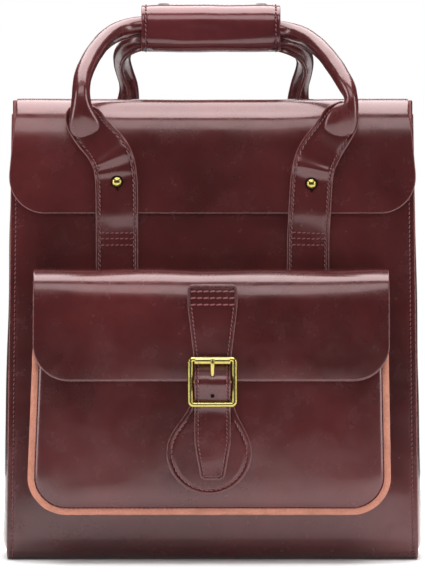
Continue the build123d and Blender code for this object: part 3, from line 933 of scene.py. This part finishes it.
def handle(name, table, seam_turn, body, replaces):
    """A rolled handle: leather sewn round a cord, its ends flattened over the straps.

    table holds (x, y, z, half width, half depth) along its middle; the seam's raw edges
    stand out on the side given by seam_turn.
    """
    rough = smooth_line(table, 1.5, 4)
    line, size = rough[:, :3], rough[:, 3:]
    count = len(line)
    # the section's depth stays across the handle's own loop plane
    front = table[0][1] < 0
    out = np.broadcast_to(np.array([0.0, -1.0 if front else 1.0, 0.0]), line.shape)
    lean = np.clip((400 - line[:, 2]) / 60.0, 0, 1)[:, None]
    up = np.broadcast_to(np.array([0.0, 0.0, 1.0]), line.shape)
    ribbon = Ribbon(line, out * (0.25 + lean) + up * (1 - lean) * 0.75)
    m = 28
    ang = np.arange(m) / m * 2 * math.pi
    ca, sa = np.cos(ang), np.sin(ang)
    verts = []
    for (a, b), s, at, across, n in zip(size, ribbon.s, ribbon.line, ribbon.across, ribbon.n):
        seed = hash_of(name)
        places = [Vector((s * 0.09, math.cos(g) * 1.3, math.sin(g) * 1.3 + seed)) for g in ang]
        ripple = np.array([noise.noise(place) for place in places]) * 0.28
        power = 1 - 0.06 * abs(a - b) / max(a, b)
        px = (a + ripple) * np.sign(ca) * np.abs(ca) ** power
        py = (b + ripple) * np.sign(sa) * np.abs(sa) ** power
        verts.append(at + across * px[:, None] + n * py[:, None])
    obj = outwards(put_mesh(name, np.vstack(verts), tube_faces(count, m), [LEATHER_HANDLE]))
    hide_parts(*replaces)
    fasten(obj, body)

    # the sewn seam: two raw edges standing up along the handle, and its stitches
    direction = np.cos(seam_turn) * ribbon.across + np.sin(seam_turn) * ribbon.n
    foot = line + direction * (np.minimum(size[:, :1], size[:, 1:2]) - 1.2)
    keep = size[:, 1] >= 6.5
    seam_line = foot[keep]
    seam_dir = direction[keep]
    t2 = np.gradient(seam_line, axis=0)
    t2 /= np.linalg.norm(t2, axis=1)[:, None]
    across = np.cross(t2, seam_dir)
    half_section = [(1.5, 0), (1.4, 2.7), (1.0, 3.5), (0.12, 3.6)]
    section = [(-a, h) for a, h in half_section] + [(0, 3.2)] + half_section[::-1]
    rows, k = len(seam_line), len(section)
    verts = [seam_line[i] + across[i] * a + seam_dir[i] * h for i in range(rows) for a, h in section]
    which = [1 if 2 <= j <= 5 else 0 for _ in range(rows - 1) for j in range(k)] + [1, 1]
    fin = outwards(put_mesh(name + "_seam", verts, tube_faces(rows, k), [LEATHER_HANDLE, EDGE_DYED], which))
    fasten(fin, body)
    for tag, way in (("a", 1), ("b", -1)):
        side = Ribbon(seam_line + across * way * 1.4 + seam_dir * 1.7, across * way)
        seam = [[(0, 0), (0, side.length)]]
        fasten(stitches(f"{name}_stitches_{tag}", side, seam, depth=0.0, rise=0.25, radius=0.34), body)


FRONT_HANDLE = [
    (-97.4, -70.2, 331.6, 5.0, 0.9),
    (-97.8, -70.4, 332.8, 8.8, 1.4),
    (-98.6, -71.0, 336.0, 11.7, 2.6),
    (-100.0, -71.8, 341.5, 12.0, 4.2),
    (-101.2, -72.2, 348.0, 10.4, 5.6),
    (-102.0, -72.2, 354.5, 8.4, 6.6),
    (-102.3, -71.4, 361.5, 7.1, 7.0),
    (-102.2, -68.8, 369.0, 6.9, 7.0),
    (-101.2, -63.0, 377.5, 7.0, 7.0),
    (-98.0, -54.0, 387.0, 7.2, 7.0),
    (-91.0, -40.0, 399.8, 7.0, 7.0),
    (-80.0, -23.0, 412.2, 7.0, 7.0),
    (-66.0, -10.0, 418.0, 7.0, 7.0),
    (-50.0, -8.3, 419.6, 7.0, 7.0),
    (0.0, -8.3, 421.0, 7.0, 7.0),
    (48.0, -8.3, 416.6, 7.0, 7.0),
    (62.0, -11.0, 414.0, 7.0, 7.0),
    (74.0, -23.0, 409.6, 7.0, 7.0),
    (86.5, -40.0, 398.6, 7.1, 7.0),
    (97.0, -55.0, 384.0, 7.2, 7.0),
    (104.6, -66.5, 370.5, 6.9, 7.0),
    (108.0, -70.8, 361.5, 5.0, 6.8),
    (107.6, -72.0, 355.0, 6.6, 6.2),
    (103.6, -72.2, 349.0, 11.2, 5.2),
    (99.8, -71.8, 342.5, 12.6, 4.0),
    (97.6, -71.0, 336.5, 12.0, 2.6),
    (96.8, -70.4, 333.0, 9.0, 1.4),
    (96.5, -70.2, 331.8, 5.0, 0.9),
]
handle("front_handle_roll", FRONT_HANDLE, -math.pi / 2, "front_handle", ("front_tube", "front_core"))
REAR_HANDLE = [
    (-73.8, 69.9, 333.0, 10.4, 1.2),
    (-73.2, 70.8, 337.0, 12.0, 2.8),
    (-70.6, 71.8, 347.0, 11.0, 5.0),
    (-67.6, 71.6, 357.0, 9.2, 6.4),
    (-66.6, 68.5, 372.0, 7.4, 7.0),
    (-70.5, 61.0, 383.0, 7.0, 7.0),
    (-72.8, 48.0, 393.0, 7.0, 7.0),
    (-70.5, 30.0, 401.0, 7.0, 7.0),
    (-62.5, 13.0, 406.5, 7.0, 7.0),
    (-50.0, 8.2, 409.0, 7.0, 7.0),
    (0.0, 8.2, 410.0, 7.0, 7.0),
    (48.0, 8.2, 408.5, 7.0, 7.0),
    (61.0, 13.0, 405.0, 7.0, 7.0),
    (71.0, 30.0, 399.5, 7.0, 7.0),
    (74.5, 48.0, 391.0, 7.0, 7.0),
    (72.5, 61.0, 381.0, 7.0, 7.0),
    (69.2, 68.5, 371.0, 7.4, 7.0),
    (68.4, 71.6, 357.0, 9.2, 6.4),
    (70.8, 71.8, 347.0, 11.0, 5.0),
    (73.2, 70.8, 337.0, 12.0, 2.8),
    (73.8, 69.9, 333.0, 10.4, 1.2),
]
handle("rear_handle_roll", REAR_HANDLE, -math.pi / 2, "rear_handle", ("rear_tube", "rear_core"))

# ------------------------------------------------------------------ grip wrap

GRIP_LEFT, GRIP_RIGHT = -56.0, 53.5
GRIP_MID = (GRIP_LEFT + GRIP_RIGHT) / 2
GRIP_HALF = (GRIP_RIGHT - GRIP_LEFT) / 2


def oval(half_deep, low, high, start, stop, count=70):
    """Part of the wrap's side view; angles turn from straight down, front first."""
    pts = []
    mid, half = (low + high) / 2, (high - low) / 2
    for k in range(count + 1):
        a = start + (stop - start) * k / count
        c, s = math.cos(a), math.sin(a)
        y = -half_deep * math.copysign(abs(s) ** 0.86, s)
        z = mid - half * math.copysign(abs(c) ** 0.74, c)
        pts.append((y, z))
    return np.array(pts)


cover_line = oval(16.8, 398.0, 435.2, -0.06, math.pi + 0.42)
cover = Profile(even(cover_line, 1.0), side=1)
if cover(0, cover.length * 0.5, 1.0)[1] > cover(0, cover.length * 0.5, 0.0)[1]:
    cover.normal *= -1
cover_rows = rounded_rows(0, cover.length, GRIP_HALF, GRIP_HALF, 7.0, 2.5, shift=GRIP_MID)
cover_outline = Outline(cover_rows, 56)


def cover_lift(x, v):
    """Shallow hollow in the middle of the front, and pinched ends."""
    u = (x - GRIP_MID) / GRIP_HALF
    z = np.interp(v, cover.s, cover.line[:, 1])
    front = np.where(v < cover.length * 0.5, np.exp(-(((z - 412.5 + 2.5 * u) / 6.5) ** 2)), 0.0)
    hollow = -1.7 * front * np.exp(-(((u + 0.1) / 0.6) ** 2))
    ends = -0.9 * np.clip(np.abs(u) - 0.62, 0, 1) ** 1.2
    slow = wobble(x, v, 0.035, 55.0) * 0.55 + wobble(x, v, 0.09, 58.0) * 0.14
    return hollow + ends + slow


cover_piece = sheet(
    "grip_cover_leather",
    cover_outline,
    cover,
    thick=2.0,
    rim=stitched_rim(3.5, 0.4, 0.15, 1.4),
    lift=cover_lift,
    mats=[LEATHER_GRIP, EDGE_DYED, FLESH],
    groove=3.5,
)
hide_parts("grip_cover")
COVER_BEND = ("rear_handle", "grip_cover", (0, 0.002, 0.3965), (0, -0.006, 0.4030))
cover_edge = [cover_outline.path(3.5)]
cover_seams = stitches("grip_cover_stitches", cover, cover_edge, cover_lift, depth=-0.35)
fasten([cover_piece, cover_seams], None, COVER_BEND)

wrap_line = oval(16.6, 398.1, 432.4, 0.05, -math.pi - 0.06)
wrap = Profile(even(wrap_line, 1.0), side=1)
if wrap(0, wrap.length * 0.5, 1.0)[1] < wrap(0, wrap.length * 0.5, 0.0)[1]:
    wrap.normal *= -1
wrap_outline = Outline(rounded_rows(0, wrap.length, GRIP_HALF, GRIP_HALF, 7.0, 2.5, shift=GRIP_MID), 56)


def wrap_lift(x, v):
    """Slow waves and pinched ends of the fixed half."""
    u = (x - GRIP_MID) / GRIP_HALF
    return wobble(x, v, 0.035, 65.0) * 0.5 - 0.6 * np.clip(np.abs(u) - 0.62, 0, 1)


wrap_piece = sheet(
    "grip_wrap_leather",
    wrap_outline,
    wrap,
    thick=2.0,
    rim=stitched_rim(3.5, 0.4, 0.15, 1.4),
    lift=wrap_lift,
    mats=[LEATHER_GRIP, EDGE_DYED, FLESH],
    groove=3.5,
)
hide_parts("grip_wrap")
wrap_seams = stitches("grip_wrap_stitches", wrap, [wrap_outline.path(3.5)], wrap_lift, depth=-0.35)
fasten([wrap_piece, wrap_seams], "rear_handle")

for label, sx in (("left", -38.5), ("right", 38.5)):
    cap = lathe(
        f"snap_cap_{label}",
        (sx, 3.0, 434.6),
        (0, 0, 1),
        [(4.3, 0.0), (4.75, 0.3), (4.8, 0.8), (4.45, 1.25), (3.6, 1.6), (2.2, 1.85), (0.3, 1.95)],
        [GUNMETAL],
    )
    fasten(cap, "grip_cover")
    if label == "left":
        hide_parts("snap_caps")

# ------------------------------------------------------------------ front pocket

POCKET_FACE = -101.5
POCKET_BOTTOM = 38.6
POCKET_TOP = 212.0
PANEL_HALF = 140.0
PANEL_SHIFT = -1.8
PANEL_CORNER = 30


def pocket_depth(x, z):
    """How far the pocket's front stands out from its seam, full in the middle."""
    side = 136.5 - np.abs(x)
    foot = z - POCKET_BOTTOM - 3.5
    near = np.minimum(side, foot)
    corner = (side < 28) & (foot < 28)
    round_in = 28 - np.hypot(np.clip(28 - side, 0, None), np.clip(28 - foot, 0, None))
    near = np.where(corner, round_in, near)
    roll = 3.2 * (1 - np.exp(-np.clip(near, 0, None) / 5.0)) - 2.6
    full = 1.2 * np.clip(1 - (x / 140) ** 2, 0, 1) * np.clip(1 - ((z - 110) / 80.0) ** 2, 0, 1)
    return roll + full


pocket_line = dense([(POCKET_FACE, POCKET_TOP), (POCKET_FACE, POCKET_BOTTOM)], 2.0)
pocket = Profile(pocket_line, side=1)
if pocket.normal[0][0] > 0:
    pocket.normal *= -1
pocket_rows = rounded_rows(0, pocket.length, PANEL_HALF, PANEL_HALF, PANEL_CORNER, 3.5, PANEL_SHIFT)
pocket_outline = Outline(pocket_rows, 84)


def slant_x(x, z):
    """The pocket is drawn in towards its mouth, a little more on its left."""
    t = np.clip((z - 60.0) / 150.0, 0, 1)
    return (x - PANEL_SHIFT) * (1.004 - 0.032 * t) - 2.6 + 1.6 * t


def slanted(shape):
    """The same mapping with the pocket's sides drawn in."""

    def mapped(x, v, depth):
        points = shape(x, v, depth)
        points[..., 0] = slant_x(points[..., 0], points[..., 2])
        return points

    return mapped


pocket_shape = slanted(pocket)


def pocket_lift(x, v):
    """The pocket's fullness, its rolled edge, and slow waves."""
    z = POCKET_TOP - v
    slow = wobble(x, v, 0.014, 71.0) * 1.0 + wobble(x, v, 0.04, 74.0) * 0.2
    from_middle = x - PANEL_SHIFT
    return pocket_depth(from_middle, z) + slow * np.clip((136 - np.abs(from_middle)) / 20, 0, 1)


BEVEL_RIM = [(0.0, -2.3), (0.4, -1.7), (1.8, -0.75), (2.9, -0.25), (3.3, -0.02), (3.7, -0.12), (4.2, -0.42)]
BEVEL_RIM += [(4.7, -0.5), (5.2, -0.3), (6.2, 0.1), (7.8, 0.3), (10.0, 0.35), (13.5, 0.35)]
pocket_piece = sheet(
    "pocket_front_leather",
    pocket_outline,
    pocket_shape,
    thick=2.9,
    rim=BEVEL_RIM,
    lift=pocket_lift,
    mats=[LEATHER_POCKET, EDGE, FLESH],
    groove=4.7,
    pale=3.0,
)
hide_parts("pocket_front")
pocket_thread = stitches("pocket_front_stitches", pocket_shape, [pocket_outline.path(4.7)], pocket_lift)
fasten([pocket_piece, pocket_thread], "bag_body")


def u_line(inset, step=2.0):
    """The pocket's side and bottom line seen from the front, from its top left."""
    left, right = PANEL_SHIFT - PANEL_HALF + inset, PANEL_SHIFT + PANEL_HALF - inset
    low = POCKET_BOTTOM + inset
    corners = [(left, POCKET_TOP), (left, low), (right, low), (right, POCKET_TOP)]
    return rounded(corners, [PANEL_CORNER - inset] * 2, step)


# the second layer of the seam: the gusset's turned-out flange, its raw edge showing
flange_line = u_line(0.2)
flange_line[:, 0] = slant_x(flange_line[:, 0], flange_line[:, 1])
flange = np.stack([flange_line[:, 0], np.full(len(flange_line), -99.0), flange_line[:, 1]], axis=1)
toward = np.gradient(flange_line, axis=0)
toward /= np.linalg.norm(toward, axis=1)[:, None]
outward = np.stack([toward[:, 1] * -1, np.zeros(len(toward)), toward[:, 0]], axis=1)
if outward[5][0] > 0:
    outward *= -1


def flange_section(i, share):
    wave = 0.25 * noise.noise(Vector((i * 0.21, 4.0, 0)))
    worn = [(1.35, -0.5), (1.0, 0.1), (0.2, 0.5), (-0.8, 0.35), (-1.25, -0.3)]
    return [(1.2, -4.6)] + [(a, h + wave) for a, h in worn] + [(-1.2, -4.6)]


flange_piece = sweep("pocket_seam_flange", flange, flange_section, [EDGE], out=outward)
fasten(flange_piece, "bag_body")

gusset_line = u_line(3.6)
pocket_side = Profile(gusset_line, side=1, plane="xz")
if pocket_side.normal[2][0] > 0:
    pocket_side.normal *= -1
side_rows = [(pocket_side.length * k / 170, -98.6, -57.8) for k in range(171)]
side_outline = Outline(side_rows, 14)


def side_lift(x, v):
    """The pocket's side walls fold slightly inwards along their middle."""
    across = (x + 78.2) / 20.4
    away = np.clip(np.abs(v - pocket_side.length / 2) / 190.0 - 0.35, 0, 1)
    fold = -2.2 * np.exp(-((across / 0.45) ** 2)) * away
    full = 1.3 * np.clip(1 - across**2, 0, 1)
    return fold + full + wobble(x, v, 0.02, 81.0) * 0.6


side_mats = [LEATHER_POCKET, EDGE, FLESH]
side_shape = slanted(pocket_side)
side_piece = sheet("pocket_gusset_leather", side_outline, side_shape, lift=side_lift, mats=side_mats)
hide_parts("pocket_gusset")
fasten(side_piece, "bag_body")

# pocket flap, rolled over at its sewn top edge
pflap_line = rounded(
    [
        (-60.6, 212.0),
        (-60.6, 227.8),
        (-89.0, 227.8),
        (-100.2, 221.5),
        (-104.4, 208.0),
        (-105.2, 186.0),
        (-105.2, 142.0),
    ],
    [3.2, 14.0, 16.0, 50.0, 90.0],
    1.3,
)
pflap = Profile(pflap_line, side=1)
if pflap(0, pflap.length - 5, 1.0)[1] > pflap(0, pflap.length - 5, 0.0)[1]:
    pflap.normal *= -1
PFLAP_LEN = pflap.length
pflap_fold = float(pflap.s[np.argmax(pflap.line[:, 0] < -100.0)])
pflap_outline = Outline(rounded_rows(0, PFLAP_LEN, 137.6, 138.0, 28, 3.0, shift=-1.0), 84)


def pflap_lift(x, v):
    """Fullness of the pocket flap's drop, sag of its top, and its hem hugging the pocket."""
    drop = np.clip((v - pflap_fold) / 15.0, 0, 1)
    full = 1.8 * drop * np.clip(1 - ((x + 1) / 138) ** 2, 0, 1) ** 0.7
    top = np.exp(-(((v - pflap_fold + 26) / 16.0) ** 2))
    sag = -1.1 * top * np.cos((x + 1) / 138 * math.pi * 1.5) ** 2
    hug = -1.2 * np.clip((v - (PFLAP_LEN - 30)) / 30, 0, 1)
    slow = wobble(x, v, 0.013, 91.0) * 0.9 + wobble(x, v, 0.04, 94.0) * 0.2
    root = np.clip((v - 14) / 8.0, 0, 1)
    strap = -0.6 * drop * np.exp(-((x / 17.0) ** 4))
    return (full + sag + hug * (1 - np.clip(np.abs(x) / 138, 0, 1) ** 2) + slow + strap) * root


pflap_piece = sheet(
    "pocket_flap_leather",
    pflap_outline,
    pflap,
    rim=stitched_rim(3.8, 0.3, 0.15)[:5] + [(4.2, 0.1), (8.0, 0.2), (12.0, 0.25)],
    lift=pflap_lift,
    mats=[LEATHER_POCKET, EDGE_DYED, FLESH],
)
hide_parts("pocket_flap")
fasten(pflap_piece, None, ("bag_body", "pocket_flap", (0, -0.0606, 0.2190), (0, -0.0690, 0.2274)))

# ------------------------------------------------------------------ teardrop patch

PATCH_Z = 86.8
PATCH_R = 33.0
patch_rows = []
NECK = ((138.5, 13.0), (134.0, 13.0), (129.0, 13.8), (125.0, 15.8), (121.5, 17.7), (118.0, 19.3))
NECK += ((114.0, 21.6),)
NECK += ((109.0, 24.7), (104.0, 27.8), (99.0, 30.3), (95.0, 31.8), (92.0, 32.6))
for z, half in NECK:
    patch_rows.append((140.0 - z, half))
for k in range(1, 27):
    a = math.radians(-2 + 88 * k / 26)
    patch_rows.append((140.0 - PATCH_Z + PATCH_R * math.sin(a), PATCH_R * math.cos(a)))
# the patch hangs a little to the left of its neck
patch_shift = [-2.6 * min(1, max(0, (v - 12) / 25)) for v, _ in patch_rows]
patch_rows = sorted((v, dx - h, dx + h) for (v, h), dx in zip(patch_rows, patch_shift))
PATCH_TOP_Y = -107.6


def patch_y(v):
    """Depth of the patch's outer face: flat on the pocket, its neck rising to the bar."""
    z = 140.0 - v
    flat = -104.3
    rise = np.clip((z - 116.0) / 22.0, 0, 1)
    return flat + (PATCH_TOP_Y - flat) * rise * rise * (3 - 2 * rise)


def patch_shape(x, v, depth):
    z = 140.0 - v
    under = np.where(z < 118, pocket_depth(x, z), pocket_depth(x, 118.0))
    y = patch_y(v) - depth - under * np.clip((124 - z) / 12.0, 0, 1) * 0.9
    return np.stack([x + 0 * y, y, z + 0 * y], axis=-1)


patch_outline = Outline(patch_rows, 26)
patch_piece = sheet(
    "buckle_patch_leather",
    patch_outline,
    patch_shape,
    thick=2.0,
    rim=stitched_rim(3.9, 0.35, 0.1, 1.4)[:10],
    mats=[LEATHER_POCKET, EDGE_DYED, FLESH],
    groove=3.9,
)
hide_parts("buckle_chape", "chape_neck")
patch_seam = [patch_outline.path(3.9)[6:-6]]
patch_thread = stitches("buckle_patch_stitches", patch_shape, patch_seam, depth=-0.3)
NECK_BEND = ("bag_body", "buckle_frame", (0, -0.1040, 0.1165), (0, -0.1065, 0.1235))
fasten([patch_piece, patch_thread], None, NECK_BEND)

BUCKLE_Z, BAR_Y = 141.7, -109.5
BAR_CENTRE = np.array([BAR_Y, BUCKLE_Z])
LOOP_R = 3.2
for label, lo, hi in (("left", -13.0, -2.6), ("right", 2.6, 13.0)):
    loop = []
    for k in range(33):
        a = math.radians(-50 - 290 * k / 32)
        loop.append((BAR_Y + LOOP_R * math.sin(a), BUCKLE_Z + LOOP_R * math.cos(a)))
    around = Profile(np.array(loop), side=1)
    if np.linalg.norm(around.line[5] + around.normal[5] - BAR_CENTRE) < LOOP_R:
        around.normal *= -1
    ring = sheet(
        f"buckle_loop_{label}",
        Outline([(around.length * k / 30, lo, hi) for k in range(31)], 6),
        around,
        thick=1.5,
        rim=[(0.0, -0.6), (0.25, -0.15), (0.8, 0.0)],
        mats=[LEATHER_POCKET, EDGE_DYED, FLESH],
    )
    fasten(ring, "buckle_frame")

# ------------------------------------------------------------------ buckle

FRAME_Y = -111.0


def buckle_frame():
    """Heavy rectangular frame with a ridge, a centre bar and a thin bar for the roller."""
    w, h = 19.0 - 2.0, 19.5 - 2.0
    r = 2.4
    path = []
    for quarter, (right, top) in enumerate(((1, 1), (-1, 1), (-1, -1), (1, -1))):
        for k in range(9):
            a = math.radians(90 * quarter + 90 * k / 8)
            path.append((right * (w - r) + r * math.cos(a), top * (h - r) + r * math.sin(a)))
    path = np.array(path)
    n = len(path)
    half_section = [(2.0, 1.3), (2.05, -0.2), (1.75, -1.35), (1.0, -1.9)]
    section = [(-a, d) for a, d in half_section] + [(0.0, -2.25)] + half_section[::-1]
    section += [(1.2, 2.0), (-1.2, 2.0)]
    verts, faces = [], []
    m = len(section)
    for i in range(n):
        t = path[(i + 1) % n] - path[i - 1]
        t /= np.linalg.norm(t)
        out = np.array([t[1], -t[0]])
        for a, d in section:
            p = path[i] + out * a
            verts.append((p[0], FRAME_Y + d, BUCKLE_Z + p[1]))
    for i in range(n):
        q = (i + 1) % n
        for j in range(m):
            s = (j + 1) % m
            faces.append((i * m + j, i * m + s, q * m + s, q * m + j))
    obj = outwards(put_mesh("buckle_frame_brass", verts, faces, [BRASS]))
    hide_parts("buckle_frame")
    fasten(obj, "buckle_frame")
    bar = sweep(
        "buckle_centre_bar",
        [(x, BAR_Y, BUCKLE_Z) for x in np.linspace(-17.5, 17.5, 8)],
        lambda i, share: turned(1.5, 16),
        [BRASS],
    )
    fasten(bar, "buckle_frame")


buckle_frame()


def tube_ring(y, z, x0, x1, outer, name):
    """The roller: a short tube with a seam, slightly rounded at its ends."""
    ends = [(0.0, 0.45), (0.25, 0.12), (0.7, 0.0)]
    rows = [(x0 + d, outer - drop) for d, drop in ends] + [(x1 - d, outer - drop) for d, drop in ends[::-1]]
    m = 32
    verts = []
    for x, r in rows:
        for j in range(m):
            a = j / m * 2 * math.pi
            notch = 0.28 if j == 4 else 0.0
            verts.append((x, y + (r - notch) * math.cos(a), z + (r - notch) * math.sin(a)))
    obj = outwards(put_mesh(name, verts, tube_faces(len(rows), m), [BRASS]))
    return obj


roller = tube_ring(FRAME_Y, 158.0, -13.9, 13.9, 3.15, "buckle_roller_brass")
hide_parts("buckle_roller")
fasten(roller, "buckle_roller")

prong_points = [(BAR_Y - 2.4, BUCKLE_Z), (-112.4, 143.6), (-113.4, 147.4), (-114.9, 152.2)]
prong_points += [(-115.75, 156.4), (-115.6, 158.4), (-115.2, 160.0)]


def prong_section(i, share):
    """Widening from the eye, then narrowing to the tip on the roller."""
    half_wide = 1.05 + 0.75 * share - 0.5 * max(0, share - 0.85) / 0.15
    return turned(half_wide, 16, 1.25 - 0.25 * share)


prong_line = smooth_line([(0, y, z) for y, z in prong_points], 0.7, 4)
prong = sweep("buckle_prong_brass", prong_line, prong_section, [BRASS])
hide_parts("buckle_prong")
fasten(prong, "buckle_prong")
EYE_ROWS = [(-1.9, 2.6), (-1.7, 2.95), (-1.2, 3.1), (1.2, 3.1), (1.7, 2.95), (1.9, 2.6)]
prong_eye = sweep(
    "buckle_prong_eye",
    [(x, BAR_Y, BUCKLE_Z) for x, _ in EYE_ROWS],
    lambda i, share: turned(EYE_ROWS[i][1], 24),
    [BRASS],
)
fasten(prong_eye, "buckle_prong")

# ------------------------------------------------------------------ buckle strap

BSTRAP_T = 2.2
# (y, z) of its outer side: over the flap, out over the bar, down on the patch
bstrap_points = [(-105.6, 217.0), (-107.0, 211.5), (-108.0, 204.0), (-108.8, 194.0), (-108.4, 180.0)]
bstrap_points += [(-107.6, 166.0), (-107.2, 160.5), (-108.4, 155.0), (-111.4, 150.0), (-114.1, 146.0)]
bstrap_points += [(-115.4, 142.0), (-114.9, 137.0), (-112.2, 131.0), (-109.4, 125.5), (-107.9, 119.0)]
bstrap_points += [(-108.2, 110.0), (-108.6, 98.0), (-108.4, 80.0), (-107.9, 65.7)]
bstrap_line = smooth_line([(0, y, z) for y, z in bstrap_points], 0.9, 4)
bstrap = Ribbon(bstrap_line, (0, -1, 0))
bs_z = bstrap.line[:, 2]


# (height, half width) of the buckle strap, from its tip up
BSTRAP_HALVES = [(65.7, 5.0), (66.2, 7.4), (67.3, 8.9), (69.5, 9.8), (94.0, 14.0), (156.0, 14.0)]
BSTRAP_HALVES += [(162.0, 14.75), (200.0, 19.25), (213.5, 19.25), (216.2, 17.8), (217.0, 16.4)]


def bstrap_half(z):
    return float(np.interp(z, *zip(*BSTRAP_HALVES)))


bs_rows = []
top_marks = [0, 0.5, 1.2, 2.2, 3.6]
tip_marks = bstrap.length - np.array([3.6, 2.4, 1.5, 0.8, 0.3, 0.0])
marks = np.concatenate([top_marks, np.linspace(5, bstrap.length - 5, 92), tip_marks])
for v in marks:
    z = float(np.interp(v, bstrap.s, bs_z))
    h = bstrap_half(z)
    bs_rows.append((v, -h, h))
bs_outline = Outline(bs_rows, 18)


def v_of_z(z):
    """The distance along the buckle strap at a height."""
    return float(np.interp(-z, -bs_z, bstrap.s))


def bstrap_lift(x, v):
    """A soft crown, and a dip round each hole."""
    pad = 0.35 * np.clip(1 - (x / 13.0) ** 2, 0, 1)
    hole = np.zeros_like(x)
    for z in (147.0, 131.0):
        hole -= 0.3 * np.exp(-(((v - v_of_z(z)) ** 2 + x**2) / 3.0))
    return pad + hole + wobble(x, v, 0.07, 101.0) * 0.25


bstrap_piece = sheet(
    "buckle_strap_leather",
    bs_outline,
    bstrap,
    thick=BSTRAP_T,
    rim=stitched_rim(2.9, 0.32, 0.05, 1.2)[:9],
    lift=bstrap_lift,
    mats=[LEATHER_STRAP, EDGE_DYED, FLESH],
    groove=2.9,
)
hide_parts("buckle_strap")
bs_edge = bs_outline.path(2.9, "lbr")
bs_seams = [bs_edge[bs_edge[:, 1] > v_of_z(200.0)]]
bs_rows_sewn = []
for z in (211.5, 206.4, 201.3):
    half = bstrap_half(z) - 1.9
    bs_rows_sewn.append(np.stack([np.linspace(-half, half, 12), np.full(12, v_of_z(z))], 1))
bs_thread = stitches("buckle_strap_stitches", bstrap, bs_seams, bstrap_lift, pitch=3.2, depth=-0.3)
rows_name = "buckle_strap_cross_rows"
bs_cross = stitches(rows_name, bstrap, bs_rows_sewn, bstrap_lift, pitch=4.6, fill=0.84, radius=0.6)
fasten([bstrap_piece, bs_thread, bs_cross], "pocket_flap")
# painted shade: a near-black disc in each strap hole
for k, z in enumerate((147.0, 131.0)):
    v = v_of_z(z)
    at = bstrap(np.array([0.0]), np.array([v]), bstrap_lift(np.array([0.0]), np.array([v])) + 0.05)[0]
    above = bstrap(np.array([0.0]), np.array([v]), np.array([5.0]))[0]
    way = above - bstrap(np.array([0.0]), np.array([v]), np.array([0.0]))[0]
    way /= np.linalg.norm(way)
    hole = lathe(f"strap_hole_shade_{k}", at, way, [(1.5, -0.4), (1.5, 0.34), (1.2, 0.4), (0.02, 0.4)], [HOLE_SHADE])
    fasten(hole, "pocket_flap")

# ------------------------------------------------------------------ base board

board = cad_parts["base_board"]
board.data.materials.clear()
board.data.materials.append(FLESH)

# ------------------------------------------------------------------ floor, light, camera


def stage_mesh(name, verts, faces, mat):
    """A piece of the studio, in metres."""
    mesh = bpy.data.meshes.new(name)
    mesh.from_pydata(verts, [], faces)
    mesh.materials.append(mat)
    obj = bpy.data.objects.new(name, mesh)
    bpy.context.scene.collection.objects.link(obj)
    return obj


def plain(name, tone, glow):
    """The floor's even pale material."""
    mat = bpy.data.materials.new(name)
    mat.use_nodes = True
    shader = mat.node_tree.nodes["Principled BSDF"]
    shader.inputs["Base Color"].default_value = (tone, tone, tone, 1)
    shader.inputs["Roughness"].default_value = 0.6
    shader.inputs["Emission Color"].default_value = (1, 1, 1, 1)
    shader.inputs["Emission Strength"].default_value = glow
    return mat


floor_corners = [(-2.5, -0.8, 0), (2.5, -0.8, 0), (2.5, 1.1, 0), (-2.5, 1.1, 0)]
stage_mesh("floor", floor_corners, [(0, 1, 2, 3)], plain("pale_floor", 0.92, 0.05))


def area_light(name, at, look, size_x, size_y, power):
    """A soft rectangular lamp that the camera doesn't see."""
    data = bpy.data.lights.new(name, "AREA")
    data.shape = "RECTANGLE"
    data.size, data.size_y = size_x, size_y
    data.energy = power
    obj = bpy.data.objects.new(name, data)
    obj.location = at
    obj.rotation_euler = (Vector(look) - Vector(at)).to_track_quat("-Z", "Y").to_euler()
    obj.visible_camera = False
    bpy.context.scene.collection.objects.link(obj)
    return obj


area_light("top_box", (0, 0.15, 1.5), (0, 0.0, 0.2), 1.8, 1.6, 54)
area_light("front_top_box", (0, -1.3, 1.35), (0, 0, 0.3), 1.6, 0.6, 9)
area_light("left_box", (-1.6, -0.8, 0.5), (0, 0, 0.22), 0.5, 1.4, 11)
area_light("right_box", (1.6, -0.8, 0.5), (0, 0, 0.22), 0.5, 1.4, 11)
area_light("back_box", (0, 1.9, 1.0), (0, 0, 0.3), 2.0, 0.8, 8)

world = bpy.data.worlds.new("studio")
bpy.context.scene.world = world
world.use_nodes = True
nodes, links = world.node_tree.nodes, world.node_tree.links
paths = nodes.new("ShaderNodeLightPath")
strength = nodes.new("ShaderNodeMapRange")
strength.inputs["To Min"].default_value = 0.05
strength.inputs["To Max"].default_value = 1.0
links.new(paths.outputs["Is Camera Ray"], strength.inputs["Value"])
background = nodes["Background"]
background.inputs["Color"].default_value = (1, 1, 1, 1)
links.new(strength.outputs[0], background.inputs["Strength"])

camera_data = bpy.data.cameras.new("camera")
camera = bpy.data.objects.new("camera", camera_data)
bpy.context.scene.collection.objects.link(camera)
bpy.context.scene.camera = camera
camera_data.sensor_fit = "HORIZONTAL"
camera_data.sensor_width = 36
AIM = Vector((0.0, -0.06, 0.2095))
DISTANCE = 4.5
ELEVATION = math.radians(1.5)
camera.location = AIM + Vector((0, -math.cos(ELEVATION), math.sin(ELEVATION))) * DISTANCE
camera.rotation_euler = (AIM - camera.location).to_track_quat("-Z", "Y").to_euler()
camera_data.lens = 36 * DISTANCE / 0.3315
camera_data.clip_end = 60
bpy.context.scene.view_settings.view_transform = "Standard"
bpy.context.scene.view_settings.look = "None"
